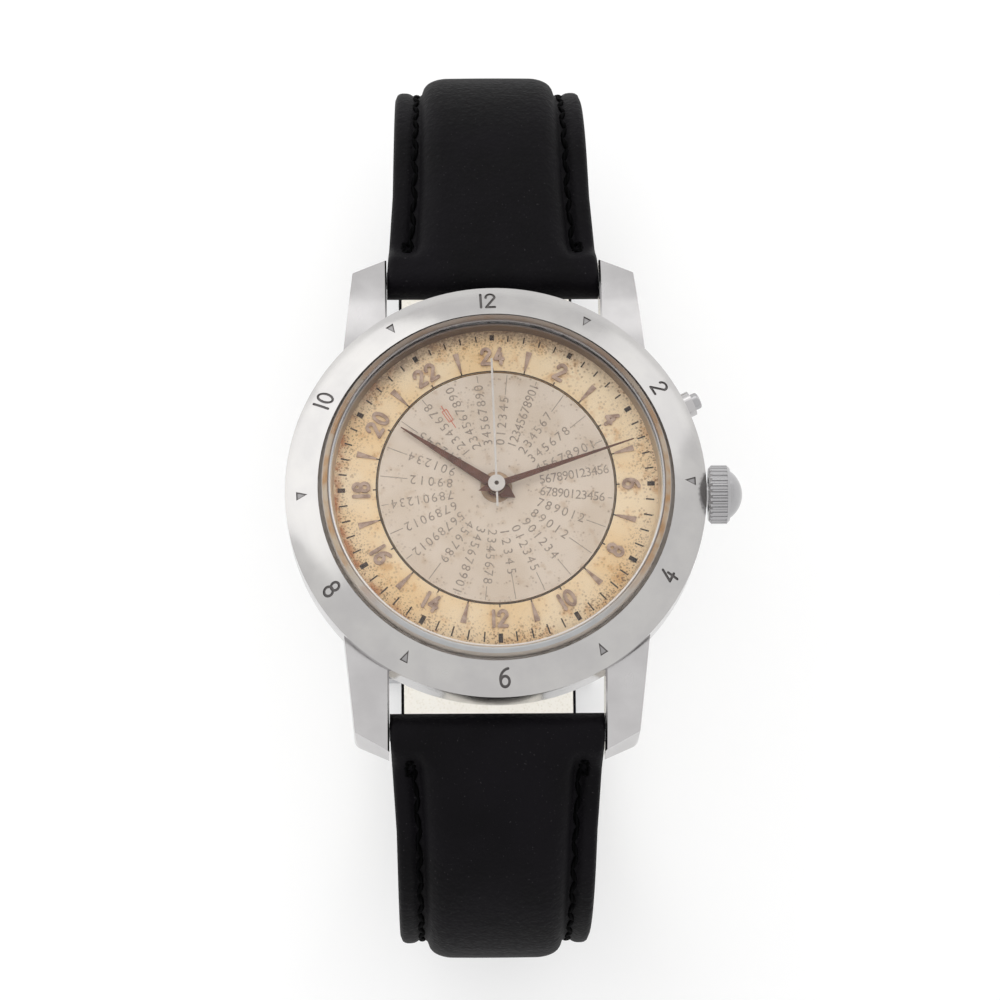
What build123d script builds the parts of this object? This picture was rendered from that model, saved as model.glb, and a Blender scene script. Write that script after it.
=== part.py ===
from build123d import *
import math
import os

os.makedirs("parts", exist_ok=True)

# A hand-wound world time wristwatch on a buckled leather strap, in millimetres.
# X points at three o'clock, Y at twelve o'clock and Z out of the dial.
# The origin is the centre of the case back's flat outer face, on the axis of the hands.

# Shared clearances
overrun = 1.0
running_clearance = 0.03
seat_clearance = 0.02
loose_clearance = 0.15
leather_clearance = 0.3

# Heights of the watch head, stacked from the case back to the dial
case_back_thickness = 1.0
winding_wheel_room = 1.3
winding_wheel_thickness = 0.3
bridge_thickness = 0.8
train_room = 2.4
main_plate_thickness = 0.6
motion_room = 1.1
dial_thickness = 0.4

# Case middle and lugs
case_radius = 17.9
case_waist_height = 3.1
case_bottom_radius = 16.5
case_bottom_height = 1.1
case_shoulder_height = 6.2
collar_radius = 15.95
collar_height = 0.9
case_bore_radius = 14.7
case_bottom_bore_radius = 15.45
case_bottom_bore_depth = 1.9
gasket_seat_depth = 0.5
gasket_seat_radius = 16.0
lug_inner_half_width = 9.2
lug_root_half_width = 13.15
lug_corner_half_width = 12.1
lug_root_reach = 11.0
lug_top_height = 5.3
lug_arch_reach = 13.0
lug_arch_radius = 14.4
lug_bottom_reach = 15.4
lug_heel_height = -0.75
lug_tip_height = -0.33
lug_end_lean = 5.0
lug_corner_radius = 0.9
lug_edge_bevel = 0.15
lug_heel_past_bar = 0.4
lug_corner_past_bar = 0.65
lug_tip_past_bar = 2.0
spring_bar_reach = 20.0
spring_bar_height = 1.9
lug_hole_radius = 0.45
lug_hole_depth = 0.8

# Bezel with its engraved hours
bezel_radius = 18.0
bezel_edge_height = 0.3
bezel_inner_radius = 15.2
bezel_lip_height = 0.8
bezel_bulge = 0.22
engraving_depth = 0.12
engraving_radius = 16.55
engraving_height = 1.6
engraving_stroke = 0.22
marker_length = 0.95
marker_width = 0.75
engraving_turn = 2.0
bezel_hours = 12

# Crystal and its tension ring
crystal_flange_radius = 15.8
crystal_flange_thickness = 0.45
crystal_wall_radius = 14.85
crystal_wall_thickness = 0.65
crystal_wall_height = 2.1
crystal_step = 0.35
crystal_crown = 1.55
crystal_thickness = 0.9
tension_ring_inner_radius = 13.8
tension_ring_top_radius = 14.05
tension_ring_height = 0.8

# Dial, applied hours and the turning world disc
dial_radius = 14.1
world_disc_radius = 10.05
world_disc_gap = 0.1
world_disc_thickness = 0.3
numeral_centre_radius = 11.5
numeral_height = 1.6
numeral_stroke = 0.29
numeral_thickness = 0.2
numeral_gap = 0.16
wedge_inner_radius = 10.5
wedge_outer_radius = 12.2
wedge_inner_width = 0.12
wedge_outer_width = 0.5
wedge_thickness = 0.15
dial_turn = 1.1
dial_hours = 24
number_flip_angle = 12.0
dial_foot_angles = (60.0, 240.0)
dial_foot_radius = 0.4
dial_foot_length = 1.4
dial_foot_reach = 12.2

# Hands
hour_hand_length = 9.6
hour_hand_hub_width = 0.87
hour_hand_taper_reach = 3.4
hour_hand_taper_width = 0.68
hour_hand_tail = 1.9
hour_hand_tail_reach = 0.9
hour_hand_tail_width = 1.16
minute_hand_length = 12.4
minute_hand_hub_width = 0.6
minute_hand_taper_reach = 3.8
minute_hand_taper_width = 0.42
minute_hand_tail = 1.6
minute_hand_tail_reach = 0.8
minute_hand_tail_width = 0.66
hand_thickness = 0.15
hand_boss_wall = 0.14
hand_tip_width = 0.08
seconds_hand_length = 11.0
seconds_hand_width = 0.17
seconds_hand_tail = 2.0
seconds_hand_boss_radius = 0.72
seconds_hand_boss_thickness = 0.3
hour_hand_height = 0.35
minute_hand_height = 0.8
seconds_hand_height = 1.25
hour_hand_direction = 147.3
minute_hand_direction = 18.8
seconds_hand_direction = 91.7

# Case back and its gasket
case_back_radius = 16.2
case_back_flat_radius = 13.6
case_back_flange_thickness = 0.45
case_back_rim_radius = 15.4
case_back_rim_wall = 0.5
case_back_rim_height = 1.1
case_back_slots = 6
case_back_slot_width = 1.6
case_back_slot_depth = 0.3
case_back_slot_length = 1.2

# Crown, stem and crown tube
stem_height = 4.9
crown_inner_reach = 18.2
crown_fluted_length = 1.8
crown_cap_length = 1.1
crown_radius = 2.5
crown_cap_radius = 2.05
crown_chamfer = 0.25
crown_flutes = 30
crown_flute_radius = 0.18
crown_recess_radius = 1.5
crown_recess_depth = 1.2
crown_tube_radius = 1.05
crown_tube_bore_radius = 0.6
crown_tube_start_reach = 14.9
crown_tube_end_gap = 0.4
stem_radius = 0.45
stem_start_reach = 5.2
stem_groove_reach = 10.2
stem_groove_width = 0.75
stem_groove_radius = 0.28

# Pusher that corrects the world disc
pusher_direction = 25.6
pusher_tube_radius = 1.1
pusher_tube_bore_radius = 0.76
pusher_tube_start_reach = 14.9
pusher_tube_end_reach = 18.75
pusher_cap_radius = 0.72
pusher_cap_round = 0.2
pusher_cap_reach = 19.45
pusher_cap_length = 2.6
pusher_rod_radius = 0.35
pusher_rod_end_reach = 12.75
pusher_guide_reach = 15.1
pusher_guide_bore_radius = 0.5
pusher_spring_radius = 0.72
pusher_spring_bore_radius = 0.5
corrector_thickness = 0.3
corrector_width = 0.7
corrector_boss_radius = 0.47
corrector_pivot_angle = 52.0
corrector_nose_angle = 22.0
corrector_reach = 12.1
corrector_finger_angle = 40.0
corrector_finger_reach = 10.9
corrector_finger_radius = 0.3
corrector_slot_radius = 1.0

# Movement holder and clamps
holder_radius = 14.55
holder_lip_radius = 14.1
holder_wall = 1.25
holder_bottom_height = 3.3
clamp_length = 3.0
clamp_width = 2.0
clamp_thickness = 0.35
clamp_reach = 13.55
clamp_angles = (155.0, 335.0)

# Main plate and bridges
movement_radius = 13.2
plate_rim_wall = 0.6
centre_tube_radius = 0.4
centre_tube_bore_radius = 0.26
pillar_radius = 0.9
screw_head_radius = 0.65
screw_head_thickness = 0.3
screw_shank_radius = 0.35
screw_slot_width = 0.16
screw_slot_depth = 0.12
jewel_radius = 0.6
jewel_thickness = 0.25
pivot_radius = 0.12
jewel_hole_clearance = 0.03
keyless_pocket_depth = 0.45
bridge_edge_gap = 0.3

# Gear cutting, as shares of the module or of one tooth's pitch
addendum_share = 0.75
dedendum_share = 1.1
tooth_root_share = 0.56
tooth_tip_share = 0.2

# Going train
wheel_thickness = 0.15
arbor_radius = 0.2
wheel_rim_share = 0.78
wheel_hub_radius = 0.6
wheel_arms = 4
wheel_arm_width = 0.4
barrel_teeth = 72
barrel_module = 0.14
barrel_drum_radius = 4.7
barrel_wall = 0.2
barrel_floor = 0.15
barrel_rise = 0.35
barrel_height = 1.1
barrel_tooth_ring_thickness = 0.3
barrel_arbor_radius = 1.1
barrel_place_x = 2.75
great_pinion_teeth = 10
great_wheel_teeth = 80
great_module = 0.08
great_wheel_rise = 1.6
great_centre_reach = 3.68
great_pinion_rise = 0.3
great_pinion_length = 0.45
third_pinion_teeth = 10
third_wheel_teeth = 75
third_module = 0.085
third_wheel_rise = 0.85
third_pinion_rise = 1.5
third_pinion_length = 0.35
fourth_pinion_teeth = 10
fourth_wheel_teeth = 80
fourth_module = 0.08
fourth_wheel_rise = 0.1
fourth_pinion_rise = 0.75
fourth_pinion_length = 0.35
escape_pinion_teeth = 8
escape_pinion_rise = 0.05
escape_pinion_length = 0.25
escape_direction = -75.0
escape_teeth = 15
escape_radius = 2.1
escape_tooth_depth = 0.55
escape_tip_share = 0.12
escape_flank_share = 0.45
escape_root_share = 0.85
escape_wheel_rise = 0.9
pallet_reach = 2.75
pallet_arm_length = 2.3
pallet_span = 1.25
pallet_arm_width = 0.3
pallet_stone_length = 0.42
pallet_stone_width = 0.2
pallet_bridge_rise = 0.6
pallet_bridge_thickness = 0.2
pallet_bridge_half_span = 2.35
pallet_bridge_width = 0.9
balance_reach = 2.95
balance_direction = -24.3
balance_radius = 4.1
balance_rim_wall = 0.5
balance_arm_width = 0.5
balance_rise = 0.25
balance_thickness = 0.25
roller_radius = 0.55
roller_rise = 1.2
roller_thickness = 0.15
impulse_pin_radius = 0.12
impulse_pin_reach = 0.4
hairspring_rise = 0.05
hairspring_width = 0.12
hairspring_strip = 0.07
hairspring_start_radius = 0.55
hairspring_pitch = 0.22
hairspring_half_turns = 18
mainspring_strip = 0.12
mainspring_start_radius = 1.25
mainspring_pitch = 0.3
mainspring_half_turns = 20
cock_foot_distance = 7.2
cock_foot_angle = 222.0
cock_width = 2.6
cock_foot_radius = 1.6

# Motion works between the main plate and the dial
motion_wheel_thickness = 0.25
motion_floor_gap = 0.05
cannon_teeth = 12
minute_wheel_teeth = 36
cannon_module = 0.16
minute_pinion_teeth = 10
hour_wheel_teeth = 40
disc_pinion_teeth = 6
disc_wheel_teeth = 48
cannon_pipe_radius = 0.56
hour_pipe_radius = 0.74
disc_pipe_radius = 1.5
post_radius = 0.25

# Winding work
crown_wheel_teeth = 26
ratchet_teeth = 42
winding_module = 0.2
crown_wheel_reach = 6.2
contrate_teeth = 24
contrate_radius = 2.3
contrate_width = 0.36
contrate_height = 0.6
contrate_tooth_depth = 0.3
winding_pinion_teeth = 12
winding_pinion_radius = 1.35
winding_pinion_length = 1.1
pinion_groove_depth = 0.22
clutch_radius = 1.05
clutch_length = 1.6
clutch_gap = 0.7
clutch_groove_width = 0.5
clutch_groove_radius = 0.75
lever_thickness = 0.3
lever_width = 0.7
lever_pin_radius = 0.22
setting_lever_length = 3.0
yoke_length = 3.4
click_angle = 62.0
click_length = 1.5
click_width = 0.5
click_gap = 0.08

# Strap, buckle and keepers
strap_half_width = 9.1
strap_shoulder_length = 9.0
strap_shoulder_half_width = 8.6
strap_tail_half_width = 7.9
strap_narrowing_length = 40.0
strap_lug_thickness = 3.8
strap_middle_thickness = 3.7
strap_tail_thickness = 2.2
strap_end_length = 2.5
strap_thick_length = 8.0
strap_thin_length = 55.0
strap_inner_share = 0.5
strap_steps = 26
strap_play = 0.25
lining_thickness = 0.8
flange_thickness = 1.9
pad_half_width = 6.0
pad_shoulder = 0.7
pad_crown = 0.35
short_heading = 11.0
short_top_turn = 12.45
short_side_turn = 97.0
short_bottom_radius = 12.5
long_heading = 21.0
long_top_turn = 6.75
long_side_turn = 92.0
strap_top_radius = 60.0
strap_side_radius = 15.5
buckle_reach = 2.0
tail_climb_turn = 26.0
tail_point_length = 5.0
tail_point_half_width = 3.0
strap_bar_hole_radius = 0.95
spring_bar_radius = 0.75
spring_bar_pivot_radius = 0.4
spring_bar_pivot_length = 0.7
strap_hole_radius = 0.8
strap_hole_pitch = 6.5
strap_holes_each_way = 2
pin_slot_length = 3.6
prong_hole_offset = 1.5
prong_bend_reach = 2.1
buckle_bar_radius = 0.6
buckle_window = 8.4
buckle_length = 9.6
buckle_arm_width = 1.2
buckle_arm_thickness = 1.8
buckle_end_width = 2.0
buckle_end_thickness = 1.2
buckle_end_gap = 0.2
buckle_edge_round = 0.35
prong_width = 0.9
prong_thickness = 0.8
prong_eye_radius = 1.05
keeper_wall = 0.9
keeper_width = 4.6
fixed_keeper_reach = 8.0
free_keeper_reach = 14.6


# Derived heights
movement_back = case_back_thickness + winding_wheel_room
bridge_back = movement_back + winding_wheel_thickness
bridge_front = bridge_back + bridge_thickness
plate_back = bridge_front + train_room
plate_front = plate_back + main_plate_thickness
dial_back = plate_front + motion_room
dial_front = dial_back + dial_thickness
collar_top = case_shoulder_height + collar_height
lip_underside = collar_top + crystal_flange_thickness
bezel_top = lip_underside + bezel_lip_height

# Derived reaches
crown_tube_end_reach = crown_inner_reach + crown_recess_depth - crown_tube_end_gap


def cylinder(radius, bottom, top, x=0, y=0):
    """A round bar along Z between two heights."""
    bar = Cylinder(radius, top - bottom, align=(Align.CENTER, Align.CENTER, Align.MIN))
    return Pos(x, y, bottom) * bar


def ring(outer, inner, bottom, top, x=0, y=0):
    """A round bar along Z with a bore through it."""
    bore = cylinder(inner, bottom - overrun, top + overrun, x, y)
    return cylinder(outer, bottom, top, x, y) - bore


def block(low, high):
    """A box between two corners."""
    size = [b - a for a, b in zip(low, high)]
    return Pos(*low) * Box(*size, align=(Align.MIN, Align.MIN, Align.MIN))


def raised(outline, bottom, top):
    """A flat outline drawn out along Z between two heights."""
    return Pos(0, 0, bottom) * extrude(outline, top - bottom, dir=(0, 0, 1))


def widened(outline, start, end):
    """An outline of Y and Z drawn out along X between two places."""
    return Pos(start, 0, 0) * extrude(Plane.YZ * outline, end - start, dir=(1, 0, 0))


def plate(points, bottom, top):
    """A flat plate along Z with a straight-sided outline."""
    return raised(Polygon(*points, align=None), bottom, top)


def spun(points):
    """A shape turned about Z from an outline of radius and height."""
    outline = make_face(Polyline(*points, close=True))
    return revolve(Plane.XZ * outline, Axis.Z)


def along_x(radius, start, end, height=stem_height, y=0):
    """A round bar along X."""
    bar = Cylinder(radius, end - start, align=(Align.CENTER, Align.CENTER, Align.MIN))
    return Pos(start, y, height) * Rot(0, 90, 0) * bar


def polar(radius, angle):
    """The x and y of a point at a radius and an angle in degrees."""
    turn = math.radians(angle)
    return radius * math.cos(turn), radius * math.sin(turn)


def meeting_point(first, first_distance, second, second_distance, side):
    """The point at given distances from two centres, on one side of their line."""
    across = second[0] - first[0], second[1] - first[1]
    gap = math.hypot(*across)
    along = (first_distance**2 - second_distance**2 + gap**2) / (2 * gap)
    off = side * math.sqrt(first_distance**2 - along**2)
    x = first[0] + (along * across[0] - off * across[1]) / gap
    y = first[1] + (along * across[1] + off * across[0]) / gap
    return x, y


def direction(start, end):
    """The angle in degrees from one centre to another."""
    return math.degrees(math.atan2(end[1] - start[1], end[0] - start[0]))


def mesh_phase(driver, driver_phase, driver_teeth, driven, driven_teeth):
    """The angle of a tooth of the driven wheel, so that its gap faces a tooth of the driver."""
    line = direction(driver, driven)
    offset = (driver_phase - line) * driver_teeth / driven_teeth
    return line + 180 - offset + 180 / driven_teeth


def gear(centre, teeth, module, bottom, top, phase=0.0):
    """A toothed disc with straight-flanked teeth."""
    pitch_radius = teeth * module / 2
    tip = pitch_radius + addendum_share * module
    root = pitch_radius - dedendum_share * module
    pitch = 360 / teeth
    points = []
    for tooth in range(teeth):
        middle = phase + tooth * pitch
        for radius, share in ((root, -tooth_root_share), (tip, -tooth_tip_share),
                              (tip, tooth_tip_share), (root, tooth_root_share)):
            points.append(polar(radius, middle + share * pitch / 2))
    outline = Polygon(*points, align=None)
    return Pos(*centre) * raised(outline, bottom, top)


def tip_radius(teeth, module):
    """The outer radius of a toothed disc."""
    return teeth * module / 2 + addendum_share * module


def spokes(wheel, centre, outer, bottom, top, count, arm_width):
    """A wheel with the spaces between its arms cut out."""
    window = ring(outer, wheel_hub_radius, bottom - overrun, top + overrun)
    arm = block((0, -arm_width / 2, bottom - 2 * overrun), (2 * outer, arm_width / 2, top + 2 * overrun))
    for number in range(count):
        window -= Rot(0, 0, number * 360 / count) * arm
    return wheel - Pos(centre[0], centre[1], 0) * window


def write(node, shape):
    """One file for one named piece or group of like pieces."""
    shape = Compound(children=list(shape)) if isinstance(shape, list) else shape
    export_step(shape, f"parts/{node}.step")


def stroke(start, end, width):
    """A round-ended straight stroke between two points."""
    middle = (start[0] + end[0]) / 2, (start[1] + end[1]) / 2
    length = math.hypot(end[0] - start[0], end[1] - start[1])
    return Pos(*middle) * Rot(0, 0, direction(start, end)) * SlotCenterToCenter(length, width)


def bowl(centre, half_width, half_height, width):
    """A closed oval stroke."""
    outer = Ellipse(half_width, half_height)
    inner = Ellipse(half_width - width, half_height - width)
    return Pos(*centre) * (outer - inner)


def hook(start, through, end, width):
    """A round-ended curved stroke through three points."""
    return SlotArc(ThreePointArc(start, through, end), width)


# Plain figures, in shares of half the cell's width and height: straight strokes by their two ends,
# curved strokes by three points, and ovals by their middle's height and their two half sizes
digit_width_share = 0.6
figure_line_shares = {
    "1": (((0, -1), (0, 1)),),
    "2": (((1, 0.4), (-1, -1)), ((-1, -1), (1, -1))),
    "4": (((0.3, 1), (-1, -0.35)), ((-1, -0.35), (1, -0.35)), ((0.45, 0.3), (0.45, -1)))}
figure_curve_shares = {
    "2": (((-1, 0.45), (0, 1), (1, 0.4)),),
    "6": (((-1, -0.42), (-0.7, 0.5), (0.75, 1)),)}
figure_oval_shares = {
    "0": ((0, 1, 1),),
    "6": ((-0.42, 1, 0.58),),
    "8": ((-0.46, 1, 0.54), (0.5, 0.88, 0.5))}


def digit(figure, height, width):
    """One plain figure with its middle at the origin."""
    half = (height - width) / 2
    side = (digit_width_share * height - width) / 2
    shape = Sketch()
    for ends in figure_line_shares.get(figure, ()):
        start, end = [(x * side, y * half) for x, y in ends]
        shape += stroke(start, end, width)
    for points in figure_curve_shares.get(figure, ()):
        start, through, end = [(x * side, y * half) for x, y in points]
        shape += hook(start, through, end, width)
    for rise, wide, tall in figure_oval_shares.get(figure, ()):
        shape += bowl((0, rise * half), wide * side + width / 2, tall * half + width / 2, width)
    return shape


def number(text, height, width, gap):
    """A plain number with its middle at the origin."""
    widths = [width if figure == "1" else digit_width_share * height for figure in text]
    total = sum(widths) + gap * (len(text) - 1)
    place = -total / 2
    figures = []
    for figure, figure_width in zip(text, widths):
        figures.append(Pos(place + figure_width / 2, 0) * digit(figure, height, width))
        place += figure_width + gap
    return figures


def hour_angle(hours, hours_in_turn, offset):
    """The direction of an hour on a dial, in degrees from X, with its turn in the case."""
    return 90 - 360 * hours / hours_in_turn + offset


def upright(angle):
    """The turn of a number, whose top points outwards until it lies well below the horizontal."""
    rise = math.degrees(math.asin(math.sin(math.radians(angle))))
    return angle - 90 if rise > -number_flip_angle else angle + 90


# Places of the wheels, seen from the dial
centre = (0, 0)
winding_distance = (crown_wheel_teeth + ratchet_teeth) * winding_module / 2
crown_wheel_centre = (crown_wheel_reach, 0)
barrel_rise_off_stem = math.sqrt(winding_distance**2 - (crown_wheel_reach - barrel_place_x) ** 2)
barrel_centre = (barrel_place_x, barrel_rise_off_stem)
barrel_pitch_radius = barrel_teeth * barrel_module / 2
great_distance = (barrel_teeth + great_pinion_teeth) * barrel_module / 2
great_centre = meeting_point(centre, great_centre_reach, barrel_centre, great_distance, 1)
third_distance = (third_wheel_teeth + fourth_pinion_teeth) * third_module / 2
great_third_distance = (great_wheel_teeth + third_pinion_teeth) * great_module / 2
third_centre = meeting_point(centre, third_distance, great_centre, great_third_distance, 1)
escape_distance = (fourth_wheel_teeth + escape_pinion_teeth) * fourth_module / 2
escape_centre = polar(escape_distance, escape_direction)
to_balance = polar(1, balance_direction)
pallet_centre = tuple(a + pallet_reach * b for a, b in zip(escape_centre, to_balance))
balance_centre = tuple(a + balance_reach * b for a, b in zip(pallet_centre, to_balance))
motion_distance = (cannon_teeth + minute_wheel_teeth) * cannon_module / 2
minute_wheel_centre = meeting_point(centre, motion_distance, great_centre, motion_distance, -1)
minute_module = 2 * motion_distance / (minute_pinion_teeth + hour_wheel_teeth)
disc_module = 2 * motion_distance / (disc_pinion_teeth + disc_wheel_teeth)
pusher_axis = polar(1, pusher_direction)


def pusher_bar(radius, start, end):
    """A round bar along the pusher's axis."""
    return Rot(0, 0, pusher_direction) * along_x(radius, start, end)


def lug(side_x, side_y):
    """One lug: an arched side outline, narrowing in plan, with a leaning end that is cut aslant."""
    corner_reach = spring_bar_reach + lug_corner_past_bar
    tip_reach = spring_bar_reach + lug_tip_past_bar
    far = tip_reach + overrun
    arch_fall = lug_arch_radius - math.sqrt(lug_arch_radius**2 - (far - lug_arch_reach) ** 2)
    arch_end = lug_top_height - arch_fall
    side = make_face([
        TangentArc((lug_arch_reach, lug_top_height), (far, arch_end), tangent=(1, 0)),
        Polyline((far, arch_end), (far, lug_tip_height), (tip_reach, lug_tip_height),
                 (spring_bar_reach + lug_heel_past_bar, lug_heel_height),
                 (lug_bottom_reach, case_bottom_height), (lug_root_reach, case_bottom_height),
                 (lug_root_reach, lug_top_height), (lug_arch_reach, lug_top_height))])
    bar = widened(side, lug_inner_half_width, lug_root_half_width)
    inner_edge = bar.edges().filter_by(GeomType.CIRCLE).sort_by(Axis.X)[0]
    bar = chamfer(inner_edge, lug_edge_bevel)
    outline = Polygon(
        (lug_inner_half_width, lug_root_reach),
        (lug_root_half_width, lug_root_reach),
        (lug_corner_half_width, corner_reach),
        (lug_inner_half_width, tip_reach),
        align=None)
    outer_corner = outline.vertices().sort_by_distance((lug_corner_half_width, corner_reach))[0]
    outline = fillet(outer_corner, lug_corner_radius)
    shape = bar & raised(outline, lug_heel_height - overrun, lug_top_height + overrun)
    slant = direction((lug_inner_half_width, tip_reach), (lug_corner_half_width, corner_reach))
    end_room = Rot(0, 0, slant) * Rot(lug_end_lean, 0, 0) * block((-far, 0, -far), (far, far, far))
    shape -= Pos(lug_corner_half_width, corner_reach, lug_tip_height) * end_room
    if side_x < 0:
        shape = mirror(shape, Plane.YZ)
    if side_y < 0:
        shape = mirror(shape, Plane.XZ)
    return shape


def case_middle():
    """The case band with its collar, bores, lugs and the holes for tubes and spring bars."""
    band = make_face([
        Polyline((case_bottom_radius, case_bottom_height), (case_bore_radius, case_bottom_height),
                 (case_bore_radius, collar_top), (collar_radius, collar_top),
                 (collar_radius, case_shoulder_height), (case_radius, case_shoulder_height),
                 (case_radius, case_waist_height)),
        TangentArc((case_radius, case_waist_height), (case_bottom_radius, case_bottom_height),
                   tangent=(0, -1))])
    body = revolve(Plane.XZ * band, Axis.Z)
    for side_x in (-1, 1):
        for side_y in (-1, 1):
            body += lug(side_x, side_y)
    body -= cylinder(case_bore_radius, -overrun, collar_top + overrun)
    body -= cylinder(case_bottom_bore_radius, -2 * overrun, case_bottom_height + case_bottom_bore_depth)
    body -= cylinder(gasket_seat_radius, -2 * overrun, case_bottom_height + gasket_seat_depth)
    for side_y in (-1, 1):
        hole_end = lug_inner_half_width + lug_hole_depth
        body -= along_x(lug_hole_radius, -hole_end, hole_end, spring_bar_height, side_y * spring_bar_reach)
    body -= along_x(crown_tube_radius + seat_clearance, case_bore_radius - overrun, case_radius + overrun)
    body -= pusher_bar(pusher_tube_radius + seat_clearance, case_bore_radius - overrun,
                       case_radius + overrun)
    return body


def bezel():
    """A domed bezel pressed over the case collar, with sunk plain hours and triangles."""
    edge_top = case_shoulder_height + bezel_edge_height
    middle_radius = (bezel_radius + bezel_inner_radius) / 2
    middle_height = (edge_top + bezel_top) / 2 + bezel_bulge
    bore = collar_radius + seat_clearance
    outline = [
        Line((bezel_inner_radius, lip_underside), (bezel_inner_radius, bezel_top)),
        ThreePointArc((bezel_inner_radius, bezel_top), (middle_radius, middle_height),
                      (bezel_radius, edge_top)),
        Polyline((bezel_radius, edge_top), (bezel_radius, case_shoulder_height),
                 (bore, case_shoulder_height), (bore, lip_underside),
                 (bezel_inner_radius, lip_underside))]
    blank = revolve(Plane.XZ * make_face(outline), Axis.Z)
    marks = []
    for hours in range(1, bezel_hours + 1):
        angle = hour_angle(hours, bezel_hours, engraving_turn)
        x, y = polar(engraving_radius, angle)
        if hours % 2 == 0:
            figures = number(str(hours), engraving_height, engraving_stroke, engraving_stroke)
            marks += [Pos(x, y) * Rot(0, 0, upright(angle)) * figure for figure in figures]
        else:
            corners = (-marker_length / 2, 0), (marker_length / 2, marker_width / 2), \
                (marker_length / 2, -marker_width / 2)
            marks.append(Pos(x, y) * Rot(0, 0, angle) * Polygon(*corners, align=None))
    sunk = Pos(0, 0, -engraving_depth) * blank
    body = blank
    for mark in marks:
        tool = raised(mark, edge_top, bezel_top + overrun)
        body -= tool - sunk
    return body


def dome(edge_radius, edge_height, crown):
    """Half of a round cap's outline, from its edge to the axis."""
    sphere = (edge_radius**2 + crown**2) / (2 * crown)
    middle = edge_radius / 2
    middle_height = edge_height + crown - sphere + math.sqrt(sphere**2 - middle**2)
    return ThreePointArc((edge_radius, edge_height), (middle, middle_height), (0, edge_height + crown))


def crystal():
    """A domed crystal with a straight wall, a small step at its edge and a clamped flange."""
    wall_top = lip_underside + crystal_wall_height
    dome_edge = crystal_wall_radius - crystal_step
    inner_edge = crystal_wall_radius - crystal_wall_thickness
    inner_top = wall_top - crystal_thickness
    outline = [
        Polyline((inner_edge, inner_top), (inner_edge, collar_top), (crystal_flange_radius, collar_top),
                 (crystal_flange_radius, lip_underside), (crystal_wall_radius, lip_underside),
                 (crystal_wall_radius, wall_top - crystal_step), (dome_edge, wall_top)),
        dome(dome_edge, wall_top, crystal_crown),
        Line((0, wall_top + crystal_crown), (0, inner_top + crystal_crown)),
        dome(inner_edge, inner_top, crystal_crown)]
    return revolve(Plane.XZ * make_face(outline), Axis.Z)


def tension_ring():
    """The bright ring inside the crystal's wall, which presses on the dial's edge."""
    outer = crystal_wall_radius - crystal_wall_thickness - seat_clearance
    return spun([
        (tension_ring_inner_radius, dial_front),
        (outer, dial_front),
        (outer, dial_front + tension_ring_height),
        (tension_ring_top_radius, dial_front + tension_ring_height)])


def dial():
    """The fixed dial ring round the world disc, on two feet that stand in the main plate."""
    inner = world_disc_radius + world_disc_gap
    body = ring(dial_radius, inner, dial_back, dial_front)
    for angle in dial_foot_angles:
        x, y = polar(dial_foot_reach, angle)
        body += cylinder(dial_foot_radius, dial_back - dial_foot_length, dial_back + dial_thickness / 2, x, y)
    return body


def hour_numerals():
    """Applied plain numerals for the even hours of a twenty-four hour ring."""
    shapes = []
    for hours in range(2, dial_hours + 1, 2):
        angle = hour_angle(hours, dial_hours, dial_turn)
        x, y = polar(numeral_centre_radius, angle)
        for figure in number(str(hours), numeral_height, numeral_stroke, numeral_gap):
            placed = Pos(x, y) * Rot(0, 0, upright(angle)) * figure
            shapes += raised(placed, dial_front, dial_front + numeral_thickness).solids()
    return shapes


def hour_wedges():
    """Applied wedges for the odd hours, wide end outwards."""
    shapes = []
    outline = (
        (wedge_inner_radius, -wedge_inner_width / 2), (wedge_inner_radius, wedge_inner_width / 2),
        (wedge_outer_radius, wedge_outer_width / 2), (wedge_outer_radius, -wedge_outer_width / 2))
    for hours in range(1, dial_hours, 2):
        wedge = plate(outline, dial_front, dial_front + wedge_thickness)
        shapes.append(Rot(0, 0, hour_angle(hours, dial_hours, dial_turn)) * wedge)
    return shapes


def world_disc():
    """The disc of places, pressed on the twenty-four hour wheel's pipe."""
    bottom = dial_front - world_disc_thickness
    return ring(world_disc_radius, disc_pipe_radius - hand_boss_wall, bottom, dial_front)


def pointed_hand(blade_points, tail_points, pipe, bottom, turn):
    """A tapering hand with a pointed tail and a boss round its pipe, from reaches and widths."""
    bore = pipe + seat_clearance
    edge = tail_points + blade_points
    lower = [(reach, -width / 2) for reach, width in edge]
    upper = [(reach, width / 2) for reach, width in reversed(edge[1:])]
    shape = plate(lower + upper, bottom, bottom + hand_thickness)
    shape += cylinder(bore + hand_boss_wall, bottom, bottom + hand_thickness)
    shape -= cylinder(bore, bottom - overrun, bottom + overrun)
    return Rot(0, 0, turn) * shape


def hour_hand():
    """The hour hand, pushed on the hour wheel's pipe."""
    blade = ((0, hour_hand_hub_width), (hour_hand_taper_reach, hour_hand_taper_width),
             (hour_hand_length, hand_tip_width))
    tail = ((-hour_hand_tail, 0), (-hour_hand_tail_reach, hour_hand_tail_width))
    return pointed_hand(blade, tail, hour_pipe_radius, dial_front + hour_hand_height, hour_hand_direction)


def minute_hand():
    """The minute hand, pushed on the cannon pinion's pipe."""
    blade = ((0, minute_hand_hub_width), (minute_hand_taper_reach, minute_hand_taper_width),
             (minute_hand_length, hand_tip_width))
    tail = ((-minute_hand_tail, 0), (-minute_hand_tail_reach, minute_hand_tail_width))
    return pointed_hand(blade, tail, cannon_pipe_radius, dial_front + minute_hand_height,
                        minute_hand_direction)


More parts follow.
